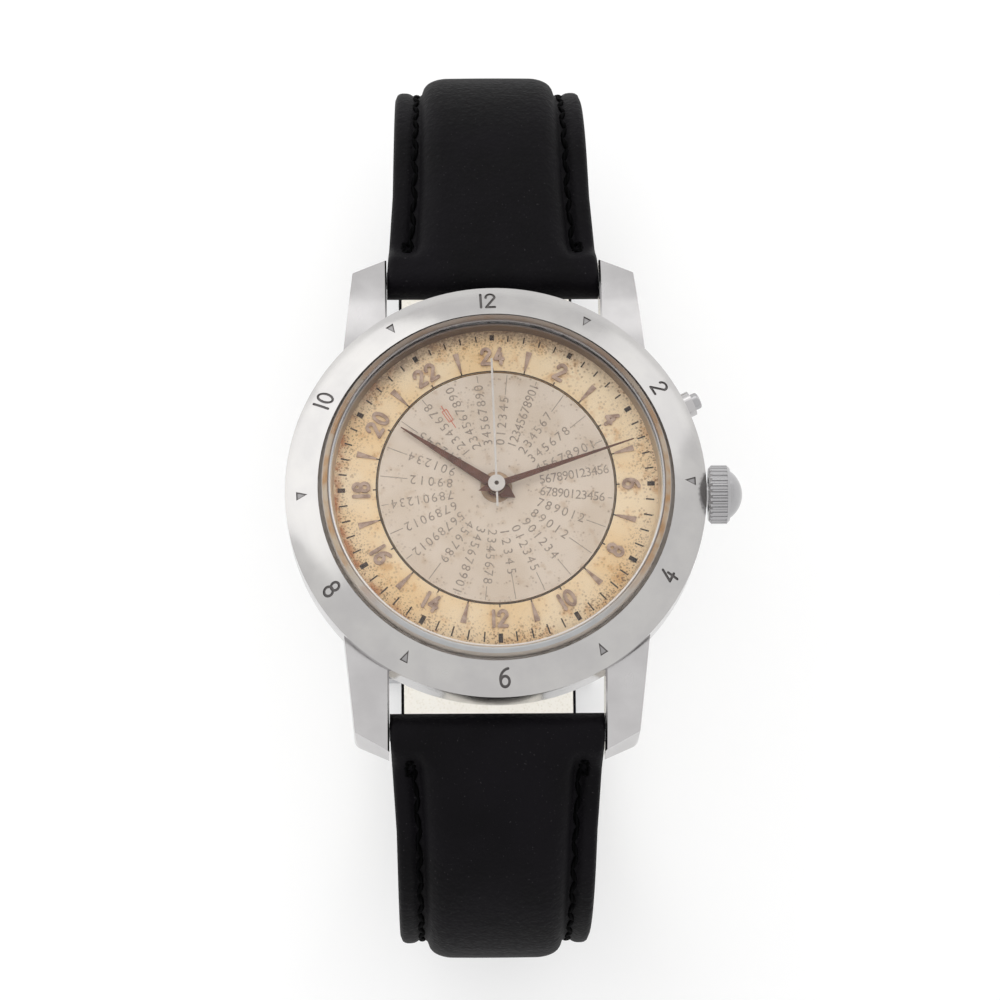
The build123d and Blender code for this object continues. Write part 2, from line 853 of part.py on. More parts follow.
def seconds_hand():
    """A thin central hand with a round boss, pushed on the fourth wheel's long pivot."""
    bottom = dial_front + seconds_hand_height
    half = seconds_hand_width / 2
    blade = plate((
        (-seconds_hand_tail, -half), (seconds_hand_length, -half),
        (seconds_hand_length, half), (-seconds_hand_tail, half)), bottom, bottom + hand_thickness)
    shape = blade + cylinder(seconds_hand_boss_radius, bottom, bottom + seconds_hand_boss_thickness)
    shape -= cylinder(arbor_radius + seat_clearance, bottom - overrun, bottom + hand_thickness)
    return Rot(0, 0, seconds_hand_direction) * shape


def case_back():
    """The screwed back: a flat plate with a bevelled flange, a rim and slots for the wrench."""
    inner_rim = case_back_rim_radius - case_back_rim_wall
    flange_edge = case_bottom_height - case_back_flange_thickness
    body = spun([
        (0, 0), (case_back_flat_radius, 0), (case_back_radius, flange_edge),
        (case_back_radius, case_bottom_height), (case_back_rim_radius, case_bottom_height),
        (case_back_rim_radius, case_bottom_height + case_back_rim_height),
        (inner_rim, case_bottom_height + case_back_rim_height), (inner_rim, case_back_thickness),
        (0, case_back_thickness)])
    inner = case_back_radius - case_back_slot_length
    half = case_back_slot_width / 2
    slot = block((inner, -half, -overrun), (case_back_radius + overrun, half, case_back_slot_depth))
    for step in range(case_back_slots):
        body -= Rot(0, 0, step * 360 / case_back_slots) * slot
    return body


def case_back_gasket():
    """A flat gasket round the back's rim."""
    return ring(gasket_seat_radius, case_bottom_bore_radius, case_bottom_height,
                case_bottom_height + gasket_seat_depth)


def crown():
    """The fluted winding crown with its domed cap and the recess for the tube."""
    fluted_end = crown_inner_reach + crown_fluted_length
    outline = [
        Polyline((0, crown_inner_reach), (crown_radius - crown_chamfer, crown_inner_reach),
                 (crown_radius, crown_inner_reach + crown_chamfer),
                 (crown_radius, fluted_end - crown_chamfer), (crown_radius - crown_chamfer, fluted_end),
                 (crown_cap_radius, fluted_end)),
        dome(crown_cap_radius, fluted_end, crown_cap_length),
        Line((0, fluted_end + crown_cap_length), (0, crown_inner_reach))]
    body = revolve(Plane.XZ * make_face(outline), Axis.Z)
    for step in range(crown_flutes):
        x, y = polar(crown_radius, step * 360 / crown_flutes)
        body -= cylinder(crown_flute_radius, crown_inner_reach - overrun, fluted_end - crown_chamfer, x, y)
    body -= cylinder(crown_recess_radius, crown_inner_reach - overrun, crown_inner_reach + crown_recess_depth)
    body -= cylinder(stem_radius, crown_inner_reach, fluted_end)
    return Pos(0, 0, stem_height) * Rot(0, 90, 0) * body


def winding_stem():
    """The stem from the crown to the clutch, with the groove for the setting lever."""
    end = crown_inner_reach + crown_fluted_length
    body = along_x(stem_radius, stem_start_reach, end)
    half = stem_groove_width / 2
    groove = along_x(stem_radius + overrun, stem_groove_reach - half, stem_groove_reach + half)
    groove -= along_x(stem_groove_radius, stem_groove_reach - overrun, stem_groove_reach + overrun)
    return body - groove


def crown_tube():
    """The tube that is pressed in the case wall and guides the stem."""
    body = along_x(crown_tube_radius, crown_tube_start_reach, crown_tube_end_reach)
    return body - along_x(crown_tube_bore_radius, crown_tube_start_reach - overrun,
                          crown_tube_end_reach + overrun)


def pusher_tube():
    """The pusher's tube in the case wall, with a guide wall at its inner end."""
    body = pusher_bar(pusher_tube_radius, pusher_tube_start_reach, pusher_tube_end_reach)
    body -= pusher_bar(pusher_tube_bore_radius, pusher_guide_reach, pusher_tube_end_reach + overrun)
    return body - pusher_bar(pusher_guide_bore_radius, pusher_tube_start_reach - overrun,
                             pusher_guide_reach + overrun)


def pusher_button():
    """The round button and its rod in one piece."""
    cap_start = pusher_cap_reach - pusher_cap_length
    body = pusher_bar(pusher_cap_radius, cap_start, pusher_cap_reach)
    round_edge = body.faces().sort_by(Axis((0, 0, stem_height), (*pusher_axis, 0)))[-1].edges()
    body = fillet(round_edge, pusher_cap_round)
    return body + pusher_bar(pusher_rod_radius, pusher_rod_end_reach, cap_start + overrun)


def pusher_spring():
    """The space of the coil that brings the button back, inside the tube."""
    cap_start = pusher_cap_reach - pusher_cap_length
    body = pusher_bar(pusher_spring_radius, pusher_guide_reach, cap_start)
    return body - pusher_bar(pusher_spring_bore_radius, pusher_guide_reach - overrun, cap_start + overrun)


corrector_pivot = polar(corrector_reach, corrector_pivot_angle)
corrector_nose = polar(corrector_reach, corrector_nose_angle)
corrector_finger = polar(corrector_finger_reach, corrector_finger_angle)
corrector_bottom = stem_height - corrector_thickness / 2
corrector_top = stem_height + corrector_thickness / 2


def corrector_lever():
    """The bent lever that the pusher swings, with a finger that reaches up to the world disc."""
    knee = polar(corrector_reach, corrector_finger_angle)
    arm = hook(corrector_pivot, knee, corrector_nose, corrector_width)
    arm += stroke(knee, corrector_finger, corrector_width)
    arm += Pos(*corrector_pivot) * Circle(corrector_boss_radius)
    body = raised(arm, corrector_bottom, corrector_top)
    body += cylinder(corrector_finger_radius, corrector_bottom,
                     dial_back - loose_clearance, *corrector_finger)
    return body - cylinder(post_radius + running_clearance, 0, dial_front, *corrector_pivot)


def spring_bars():
    """Two sprung bars that carry the strap between the lugs."""
    bars = []
    for side in (-1, 1):
        shoulder = lug_inner_half_width - seat_clearance
        tip = lug_inner_half_width + spring_bar_pivot_length
        y = side * spring_bar_reach
        bar = along_x(spring_bar_radius, -shoulder, shoulder, spring_bar_height, y)
        bars.append(bar + along_x(spring_bar_pivot_radius, -tip, tip, spring_bar_height, y))
    return bars


def movement_holder():
    """The ring that centres the movement in the case and carries the dial's edge."""
    inner = holder_radius - holder_wall
    body = ring(holder_radius, inner, holder_bottom_height, collar_top - seat_clearance)
    body += ring(holder_lip_radius, inner, holder_bottom_height, dial_back)
    body -= along_x(crown_tube_radius, inner - overrun, holder_radius + overrun)
    return body - pusher_bar(crown_tube_radius, inner - overrun, holder_radius + overrun)


def casing_clamps():
    """Two tabs screwed to the movement, which reach under the case's inner ledge."""
    top = case_bottom_height + case_bottom_bore_depth - seat_clearance
    clamps = []
    for angle in clamp_angles:
        half = clamp_width / 2
        tab = block((clamp_reach - clamp_length / 2, -half, top - clamp_thickness),
                    (clamp_reach + clamp_length / 2, half, top))
        hole_place = clamp_reach - clamp_length / 2 + screw_head_radius
        tab -= cylinder(screw_shank_radius + seat_clearance, 0, plate_front, hole_place, 0)
        clamps.append(Rot(0, 0, angle) * tab)
    return clamps


# Screws that hold the bridges and clamps: place, the height under the head, and the tip
clamp_screw_reach = clamp_reach - clamp_length / 2 + screw_head_radius
train_screws = ((-9.6, 5.6), (-10.6, -4.0), (-5.2, -9.0))
barrel_screws = ((-1.6, 11.3), (8.8, 4.8))
cock_screw = tuple(a + cock_foot_distance * b
                   for a, b in zip(balance_centre, polar(1, cock_foot_angle)))
bridge_screws = train_screws + barrel_screws + (cock_screw,)


def screw(x, y, seat, tip):
    """A slotted cheese-head screw whose head sits below its seat height."""
    head_bottom = seat - screw_head_thickness
    body = cylinder(screw_head_radius, head_bottom, seat, x, y) + cylinder(screw_shank_radius, seat, tip, x, y)
    half = screw_slot_width / 2
    slot = block((x - overrun, y - half, head_bottom - overrun),
                 (x + overrun, y + half, head_bottom + screw_slot_depth))
    return body - slot


def movement_screws():
    """The bridge screws and the two clamp screws."""
    tip = plate_back + main_plate_thickness / 2
    screws = [screw(x, y, bridge_back, tip) for x, y in bridge_screws]
    clamp_seat = case_bottom_height + case_bottom_bore_depth - seat_clearance - clamp_thickness
    for angle in clamp_angles:
        x, y = polar(clamp_screw_reach, angle)
        screws.append(screw(x, y, clamp_seat, tip))
    return screws


def screw_holes(shape, places):
    """A shape with clearance holes for screws."""
    for x, y in places:
        shape -= cylinder(screw_shank_radius + seat_clearance, 0, plate_front + overrun, x, y)
    return shape


# Pivot places of the plate and of each bridge
train_pivots = (great_centre, third_centre, escape_centre)
jewel_hole = pivot_radius + jewel_hole_clearance


def jewel_sinks(shape, places, face, depth_sign):
    """A shape with a round seat for a jewel at each pivot."""
    for x, y in places:
        inner = face + depth_sign * jewel_thickness
        shape -= cylinder(jewel_radius, min(face, inner), max(face, inner), x, y)
        shape -= cylinder(jewel_hole, face - 2 * overrun, face + 2 * overrun, x, y)
    return shape


def main_plate():
    """The plate that carries the train, with its rim, pillars, centre tube and posts."""
    body = cylinder(movement_radius, plate_back, plate_front)
    body += ring(movement_radius, movement_radius - plate_rim_wall, bridge_front, plate_back)
    clamp_places = tuple(polar(clamp_screw_reach, angle) for angle in clamp_angles)
    for x, y in bridge_screws:
        body += cylinder(pillar_radius, bridge_front, plate_back, x, y)
    clamp_seat = case_bottom_height + case_bottom_bore_depth - seat_clearance
    for x, y in clamp_places:
        body += cylinder(pillar_radius, clamp_seat, plate_back, x, y) & cylinder(
            movement_radius, 0, plate_front)
    body += cylinder(post_radius, corrector_bottom - loose_clearance, plate_back, *corrector_pivot)
    tube_top = dial_front + minute_hand_height
    body += cylinder(centre_tube_radius, plate_front, tube_top)
    body += cylinder(post_radius, plate_front, dial_back - loose_clearance, *minute_wheel_centre)
    body -= cylinder(centre_tube_bore_radius, bridge_front, tube_top + overrun)
    body -= cylinder(jewel_hole + arbor_radius, bridge_front, plate_front + overrun, *great_centre)
    body = jewel_sinks(body, (third_centre, escape_centre, balance_centre, pallet_centre), plate_back, 1)
    body = screw_holes(body, bridge_screws + clamp_places)
    # Slots for the stem, the levers, the dial feet, and the corrector's finger
    top = plate_back + keyless_pocket_depth
    pinion_room = winding_pinion_radius + loose_clearance
    inner = stem_start_reach
    body -= block((inner, -pinion_room, plate_back - overrun), (stem_groove_reach, pinion_room, top))
    body -= keyless_room(top)
    body -= along_x(crown_tube_bore_radius, stem_groove_reach, movement_radius + overrun)
    body -= pusher_bar(pusher_guide_bore_radius, movement_radius - 2 * overrun, movement_radius + overrun)
    body -= cylinder(corrector_slot_radius, plate_back - overrun, plate_front + overrun, *corrector_finger)
    for angle in dial_foot_angles:
        x, y = polar(dial_foot_reach, angle)
        body -= cylinder(dial_foot_radius + seat_clearance, plate_back - overrun, dial_back, x, y)
    return body


setting_lever_pivot = (stem_groove_reach, setting_lever_length)
clutch_start = crown_wheel_reach + contrate_radius - winding_pinion_length / 2 - clutch_gap - clutch_length
clutch_groove_middle = clutch_start + clutch_length / 2
yoke_pivot = (clutch_groove_middle, -yoke_length)


def keyless_room(top):
    """The hollow under the plate for the setting lever and the yoke."""
    room = lever_width + loose_clearance
    low = (setting_lever_pivot[0] - room, -room, plate_back - overrun)
    high = (setting_lever_pivot[0] + 2 * room, setting_lever_pivot[1] + room, top)
    yoke_low = (yoke_pivot[0] - 2 * room, yoke_pivot[1] - room, plate_back - overrun)
    yoke_high = (yoke_pivot[0] + room, 0, top)
    hollow = block(low, high) + block(yoke_low, yoke_high)
    for place in (setting_lever_pivot, yoke_pivot):
        hollow -= cylinder(post_radius, plate_back, top, *place)
    return hollow


def bridge_half(points):
    """A bridge cut from the movement's round outline, between its two faces."""
    outline = plate(points, bridge_back, bridge_front)
    return outline & cylinder(movement_radius - seat_clearance, bridge_back, bridge_front)


def barrel_bridge():
    """The bridge over the barrel and the winding wheels."""
    far = 2 * movement_radius
    split = barrel_split()
    body = bridge_half((split[0], split[1], (far, split[1][1]), (far, far), (split[0][0], far)))
    body = screw_holes(body, barrel_screws)
    body -= cylinder(barrel_arbor_radius + running_clearance, bridge_back - overrun,
                     bridge_front + overrun, *barrel_centre)
    outer = contrate_radius + contrate_width / 2 + loose_clearance
    inner = contrate_radius - contrate_width / 2 - loose_clearance
    groove_top = bridge_back + contrate_height + seat_clearance * 2
    body -= ring(outer, inner, bridge_back - overrun, groove_top, *crown_wheel_centre)
    reach = crown_wheel_reach + contrate_radius
    half = winding_pinion_length / 2 + loose_clearance
    width = winding_pinion_radius
    body -= block((reach - half, -width, bridge_back + winding_wheel_thickness),
                  (reach + half, width, bridge_front + overrun))
    body += cylinder(post_radius * 2, movement_back, bridge_back, *crown_wheel_centre)
    click_centre = click_place()
    body += cylinder(post_radius, movement_back, bridge_back, *click_centre)
    return body


def barrel_split():
    """The two ends of the line between the barrel bridge and the train bridge."""
    low = -(winding_pinion_radius + bridge_edge_gap + overrun)
    inner_x = barrel_centre[0] - barrel_drum_radius
    return (inner_x - 2 * overrun, movement_radius), (crown_wheel_reach - contrate_radius - overrun, low)


def train_bridge():
    """The bridge over the great, third, fourth and escape wheels."""
    far = 2 * movement_radius
    top, low = barrel_split()
    gap = bridge_edge_gap
    edge = escape_centre[0] + 2 * jewel_radius
    body = bridge_half((
        (top[0] - gap, far), (top[0] - gap, top[1]), (low[0] - gap, low[1]),
        (edge, low[1] - gap), (edge, escape_centre[1] - 2 * jewel_radius),
        (train_screws[2][0] + 2 * pillar_radius, -far), (-far, -far), (-far, far)))
    cock_room = cock_outline(bridge_edge_gap)
    body -= raised(cock_room, bridge_back - overrun, bridge_front + overrun)
    clamp_half = pillar_radius + bridge_edge_gap
    room = block((clamp_screw_reach - clamp_half, -clamp_half, bridge_back - overrun),
                 (far, clamp_half, bridge_front + overrun))
    for angle in clamp_angles:
        body -= Rot(0, 0, angle) * room
    body = jewel_sinks(body, train_pivots + (centre,), bridge_front, -1)
    return screw_holes(body, train_screws)


def cock_outline(margin):
    """The balance cock's outline, widened by a margin."""
    foot = Pos(*cock_screw) * Circle(cock_foot_radius + margin)
    return foot + stroke(cock_screw, balance_centre, cock_width + 2 * margin)


def balance_cock():
    """The arm from its foot at the plate's edge over the balance."""
    body = raised(cock_outline(0), bridge_back, bridge_front)
    body &= cylinder(movement_radius - seat_clearance, bridge_back, bridge_front)
    body = jewel_sinks(body, (balance_centre,), bridge_front, -1)
    return screw_holes(body, (cock_screw,))


def pallet_bridge():
    """The small bridge over the pallet fork, on two legs beside it."""
    bottom = bridge_front + pallet_bridge_rise
    top = bottom + pallet_bridge_thickness
    half = pallet_bridge_half_span
    leg = pallet_bridge_width / 2
    bar = SlotCenterToCenter(2 * half, pallet_bridge_width)
    body = raised(bar, bottom, top)
    for side in (-1, 1):
        body += cylinder(leg, bottom, plate_back, side * half, 0)
    body -= cylinder(jewel_hole, bottom - overrun, top + overrun)
    return Pos(*pallet_centre) * Rot(0, 0, balance_direction + 90) * body


def jewels():
    """The pressed jewels of the plate, the train bridge and the cock."""
    stones = []
    plate_places = (third_centre, escape_centre, balance_centre, pallet_centre)
    for x, y in plate_places:
        stones.append(ring(jewel_radius, jewel_hole, plate_back, plate_back + jewel_thickness, x, y))
    for x, y in train_pivots + (centre, balance_centre):
        stones.append(ring(jewel_radius, jewel_hole, bridge_front - jewel_thickness, bridge_front, x, y))
    return stones


def arbor(place, bottom, top):
    """A wheel's staff with a pivot at each end, between the bridge and the plate."""
    shake = running_clearance
    staff = cylinder(arbor_radius, bottom + shake, top - shake, *place)
    return staff + cylinder(pivot_radius, bottom - jewel_thickness / 2, top + jewel_thickness / 2, *place)


def spiral(start, strip, pitch, half_turns):
    """A flat coil of half circles, each wider than the last, as one strip."""
    outer_edges = []
    inner_edges = []
    x = start
    side = 1
    radius = start
    for step in range(half_turns):
        grown = radius + pitch / 4
        middle = x - side * grown
        end = middle - side * grown
        for edges, change in ((outer_edges, strip / 2), (inner_edges, -strip / 2)):
            arc_radius = grown + change
            edges.append(ThreePointArc((middle + side * arc_radius, 0), (middle, side * arc_radius),
                                       (middle - side * arc_radius, 0)))
        x = end
        side = -side
        radius = grown + pitch / 4
    first = Line(inner_edges[0] @ 0, outer_edges[0] @ 0)
    last = Line(outer_edges[-1] @ 1, inner_edges[-1] @ 1)
    return make_face([first, *outer_edges, last, *inner_edges])


def mainspring():
    """The coil of the mainspring, wound from the arbor to the drum's wall."""
    bottom = bridge_front + barrel_rise + barrel_floor + seat_clearance
    top = bridge_front + barrel_rise + barrel_height - barrel_floor - seat_clearance
    coil = spiral(mainspring_start_radius, mainspring_strip, mainspring_pitch, mainspring_half_turns)
    return Pos(*barrel_centre) * raised(coil, bottom, top)


def hairspring():
    """The flat coil that swings the balance back, from its collet to its stud."""
    bottom = bridge_front + hairspring_rise
    coil = spiral(hairspring_start_radius, hairspring_strip, hairspring_pitch, hairspring_half_turns)
    return Pos(*balance_centre) * raised(coil, bottom, bottom + hairspring_width)


# Phases of the meshing wheels, started from the cannon pinion and the ratchet
cannon_phase = 0.0
minute_wheel_phase = mesh_phase(centre, cannon_phase, cannon_teeth, minute_wheel_centre, minute_wheel_teeth)
drive_phase = mesh_phase(minute_wheel_centre, minute_wheel_phase, minute_wheel_teeth,
                         great_centre, cannon_teeth)
minute_pinion_phase = 0.0
hour_wheel_phase = mesh_phase(minute_wheel_centre, minute_pinion_phase, minute_pinion_teeth,
                              centre, hour_wheel_teeth)
disc_wheel_phase = mesh_phase(minute_wheel_centre, minute_pinion_phase, disc_pinion_teeth,
                              centre, disc_wheel_teeth)
barrel_phase = 0.0
great_pinion_phase = mesh_phase(barrel_centre, barrel_phase, barrel_teeth, great_centre, great_pinion_teeth)
great_wheel_phase = 0.0
third_pinion_phase = mesh_phase(great_centre, great_wheel_phase, great_wheel_teeth,
                                third_centre, third_pinion_teeth)
third_wheel_phase = 0.0
fourth_pinion_phase = mesh_phase(third_centre, third_wheel_phase, third_wheel_teeth,
                                 centre, fourth_pinion_teeth)
fourth_wheel_phase = 0.0
escape_pinion_phase = mesh_phase(centre, fourth_wheel_phase, fourth_wheel_teeth,
                                 escape_centre, escape_pinion_teeth)
ratchet_phase = 0.0
crown_wheel_phase = mesh_phase(barrel_centre, ratchet_phase, ratchet_teeth,
                               crown_wheel_centre, crown_wheel_teeth)


def mainspring_barrel():
    """The toothed drum that holds the mainspring, with its cover."""
    bottom = bridge_front + barrel_rise
    top = bottom + barrel_height
    inner = barrel_drum_radius - barrel_wall
    body = cylinder(barrel_drum_radius, bottom, top, *barrel_centre)
    body += gear(barrel_centre, barrel_teeth, barrel_module, bottom,
                 bottom + barrel_tooth_ring_thickness, barrel_phase)
    body -= cylinder(inner, bottom + barrel_floor, top - barrel_floor, *barrel_centre)
    return body - cylinder(barrel_arbor_radius + running_clearance, bottom - overrun,
                           top + overrun, *barrel_centre)


def barrel_arbor():
    """The arbor through the barrel, which the ratchet wheel turns."""
    top = bridge_front + barrel_rise + barrel_height
    body = cylinder(barrel_arbor_radius, bridge_back, top, *barrel_centre)
    return body + cylinder(arbor_radius, movement_back, plate_back - loose_clearance, *barrel_centre)


def great_wheel():
    """The great wheel and its pinion, once round an hour, with the drive pinion under the dial."""
    wheel_bottom = bridge_front + great_wheel_rise
    wheel_top = wheel_bottom + wheel_thickness
    wheel = gear(great_centre, great_wheel_teeth, great_module, wheel_bottom, wheel_top, great_wheel_phase)
    wheel = spokes(wheel, great_centre, wheel_rim_share * great_wheel_teeth * great_module / 2,
                   wheel_bottom, wheel_top, wheel_arms, wheel_arm_width)
    pinion_bottom = bridge_front + great_pinion_rise
    pinion = gear(great_centre, great_pinion_teeth, barrel_module, pinion_bottom,
                  pinion_bottom + great_pinion_length, great_pinion_phase)
    body = wheel + pinion
    drive_bottom = plate_front + motion_floor_gap
    drive_top = drive_bottom + motion_wheel_thickness
    body += cylinder(arbor_radius, bridge_front + running_clearance, drive_top, *great_centre)
    body += cylinder(pivot_radius, bridge_front - jewel_thickness / 2, plate_back, *great_centre)
    return body + gear(great_centre, cannon_teeth, cannon_module, drive_bottom, drive_top, drive_phase)


def third_wheel():
    """The third wheel and its pinion."""
    bottom = bridge_front + third_wheel_rise
    top = bottom + wheel_thickness
    wheel = gear(third_centre, third_wheel_teeth, third_module, bottom, top, third_wheel_phase)
    wheel = spokes(wheel, third_centre, wheel_rim_share * third_wheel_teeth * third_module / 2,
                   bottom, top, wheel_arms, wheel_arm_width)
    pinion_bottom = bridge_front + third_pinion_rise
    pinion = gear(third_centre, third_pinion_teeth, great_module, pinion_bottom,
                  pinion_bottom + third_pinion_length, third_pinion_phase)
    return wheel + pinion + arbor(third_centre, bridge_front, plate_back)


def fourth_wheel():
    """The central fourth wheel, whose long arbor carries the seconds hand."""
    bottom = bridge_front + fourth_wheel_rise
    top = bottom + wheel_thickness
    wheel = gear(centre, fourth_wheel_teeth, fourth_module, bottom, top, fourth_wheel_phase)
    wheel = spokes(wheel, centre, wheel_rim_share * fourth_wheel_teeth * fourth_module / 2,
                   bottom, top, wheel_arms, wheel_arm_width)
    pinion_bottom = bridge_front + fourth_pinion_rise
    pinion = gear(centre, fourth_pinion_teeth, third_module, pinion_bottom,
                  pinion_bottom + fourth_pinion_length, fourth_pinion_phase)
    body = wheel + pinion
    arbor_top = dial_front + seconds_hand_height + hand_thickness
    body += cylinder(arbor_radius, bridge_front + running_clearance, arbor_top)
    return body + cylinder(pivot_radius, bridge_front - jewel_thickness / 2, plate_back)


def escape_wheel():
    """The escape wheel with its raked teeth and pinion."""
    bottom = bridge_front + escape_wheel_rise
    top = bottom + wheel_thickness
    pitch = 360 / escape_teeth
    root = escape_radius - escape_tooth_depth
    points = []
    for tooth in range(escape_teeth):
        for radius, share in ((escape_radius, 0), (escape_radius, escape_tip_share),
                              (root, escape_flank_share), (root, escape_root_share)):
            points.append(polar(radius, (tooth + share) * pitch))
    wheel = Pos(*escape_centre) * plate(points, bottom, top)
    wheel = spokes(wheel, escape_centre, wheel_rim_share * root, bottom, top, wheel_arms, wheel_arm_width)
    pinion_bottom = bridge_front + escape_pinion_rise
    pinion = gear(escape_centre, escape_pinion_teeth, fourth_module, pinion_bottom,
                  pinion_bottom + escape_pinion_length, escape_pinion_phase)
    return wheel + pinion + arbor(escape_centre, bridge_front, plate_back)


def pallet_fork():
    """The fork with its two stones, drawn at the middle of its swing."""
    bottom = bridge_front + escape_wheel_rise
    top = bottom + wheel_thickness
    half = pallet_arm_width / 2
    shape = stroke((0, 0), (pallet_arm_length, 0), pallet_arm_width)
    shape += stroke((0, -pallet_span), (0, pallet_span), pallet_arm_width)
    shape += Circle(2 * half + arbor_radius / 2)
    horn = pallet_arm_length + half
    for side in (-1, 1):
        shape += stroke((pallet_arm_length, 0), (horn, side * 2 * half), half)
        stone_x = -pallet_stone_length / 2
        stone = Rectangle(pallet_stone_length, pallet_stone_width)
        shape += Pos(stone_x, side * (pallet_span - pallet_stone_width / 2)) * stone
    body = raised(shape, bottom, top)
    body = Pos(*pallet_centre) * Rot(0, 0, balance_direction) * body
    staff_bottom = bridge_front + pallet_bridge_rise
    pivot_top = staff_bottom + pallet_bridge_thickness
    staff = cylinder(arbor_radius, pivot_top + running_clearance, plate_back - running_clearance,
                     *pallet_centre)
    staff += cylinder(pivot_radius, staff_bottom, plate_back + jewel_thickness / 2, *pallet_centre)
    return body + staff


def balance_wheel():
    """The balance with two arms, its staff, and the roller with its impulse pin."""
    bottom = bridge_front + balance_rise
    top = bottom + balance_thickness
    body = ring(balance_radius, balance_radius - balance_rim_wall, bottom, top)
    half = balance_arm_width / 2
    inside = balance_radius - balance_rim_wall / 2
    body += block((-inside, -half, bottom), (inside, half, top)) + cylinder(wheel_hub_radius, bottom, top)
    body = Pos(*balance_centre) * Rot(0, 0, balance_direction + 90) * body
    body += arbor(balance_centre, bridge_front, plate_back)
    roller_bottom = bridge_front + roller_rise
    roller_top = roller_bottom + roller_thickness
    body += cylinder(roller_radius, roller_bottom, roller_top, *balance_centre)
    pin = tuple(a - impulse_pin_reach * b for a, b in zip(balance_centre, to_balance))
    pin_bottom = bridge_front + escape_wheel_rise
    return body + cylinder(impulse_pin_radius, pin_bottom, roller_top, *pin)


def cannon_pinion():
    """The pinion on the centre tube, whose pipe carries the minute hand."""
    bottom = plate_front + motion_floor_gap
    body = gear(centre, cannon_teeth, cannon_module, bottom, bottom + motion_wheel_thickness, cannon_phase)
    top = dial_front + minute_hand_height + hand_thickness
    body += cylinder(cannon_pipe_radius, bottom, top)
    return body - cylinder(centre_tube_radius + running_clearance, bottom - overrun, top + overrun)


hour_level = plate_front + 2 * motion_floor_gap + motion_wheel_thickness
disc_level = hour_level + motion_floor_gap + motion_wheel_thickness


def minute_wheel():
    """The minute wheel with one pinion for the hour wheel and one for the disc wheel."""
    bottom = plate_front + motion_floor_gap
    body = gear(minute_wheel_centre, minute_wheel_teeth, cannon_module, bottom,
                bottom + motion_wheel_thickness, minute_wheel_phase)
    body += gear(minute_wheel_centre, minute_pinion_teeth, minute_module,
                 bottom + motion_wheel_thickness, disc_level - motion_floor_gap, minute_pinion_phase)
    top = disc_level + motion_wheel_thickness
    body += gear(minute_wheel_centre, disc_pinion_teeth, disc_module, disc_level - motion_floor_gap,
                 top, minute_pinion_phase)
    return body - cylinder(post_radius + running_clearance, bottom - overrun, top + overrun,
                           *minute_wheel_centre)


def hour_wheel():
    """The hour wheel, whose pipe carries the hour hand."""
    body = gear(centre, hour_wheel_teeth, minute_module, hour_level,
                hour_level + motion_wheel_thickness, hour_wheel_phase)
    top = dial_front + hour_hand_height + hand_thickness
    body += cylinder(hour_pipe_radius, hour_level, top)
    return body - cylinder(cannon_pipe_radius + running_clearance, hour_level - overrun, top + overrun)


def disc_wheel():
    """The twenty-four hour wheel, whose pipe carries the world disc."""
    body = gear(centre, disc_wheel_teeth, disc_module, disc_level,
                disc_level + motion_wheel_thickness, disc_wheel_phase)
    seat = dial_front - world_disc_thickness
    body += cylinder(disc_pipe_radius, disc_level, seat)
    body += cylinder(disc_pipe_radius - hand_boss_wall - seat_clearance, seat, dial_front)
    return body - cylinder(hour_pipe_radius + running_clearance, disc_level - overrun, dial_front + overrun)


def crown_wheel():
    """The crown wheel: outer teeth for the ratchet wheel and face teeth for the winding pinion."""
    body = gear(crown_wheel_centre, crown_wheel_teeth, winding_module, movement_back,
                bridge_back - seat_clearance, crown_wheel_phase)
    outer = contrate_radius + contrate_width / 2
    inner = contrate_radius - contrate_width / 2
    tooth_top = bridge_back + contrate_height
    face_ring = ring(outer, inner, bridge_back - seat_clearance, tooth_top)
    pitch = 360 / contrate_teeth
    half = math.pi * contrate_radius / contrate_teeth / 2
    gap = block((inner - overrun, -half, tooth_top - contrate_tooth_depth),
                (outer + overrun, half, tooth_top + overrun))
    for step in range(contrate_teeth):
        face_ring -= Rot(0, 0, step * pitch) * gap
    body += Pos(*crown_wheel_centre) * face_ring
    return body - cylinder(post_radius * 2 + running_clearance, 0, bridge_back, *crown_wheel_centre)


def ratchet_wheel():
    """The wheel on the barrel arbor that the click holds."""
    body = gear(barrel_centre, ratchet_teeth, winding_module, movement_back,
                bridge_back - seat_clearance, ratchet_phase)
    return body - cylinder(arbor_radius + seat_clearance, 0, bridge_back, *barrel_centre)


def click_place():
    """The pivot of the click, beside the ratchet wheel's teeth."""
    reach = tip_radius(ratchet_teeth, winding_module) + click_gap + click_width
    offset = polar(reach, click_angle)
    return barrel_centre[0] + offset[0], barrel_centre[1] + offset[1]


def click():
    """The sprung finger beside the ratchet wheel."""
    pivot = click_place()
    tip_offset = polar(click_length, click_angle + 90)
    tip = pivot[0] + tip_offset[0], pivot[1] + tip_offset[1]
    outline = stroke(pivot, tip, click_width) + Pos(*pivot) * Circle(click_width)
    body = raised(outline, movement_back, bridge_back - seat_clearance)
    return body - cylinder(post_radius + running_clearance, 0, bridge_back, *pivot)


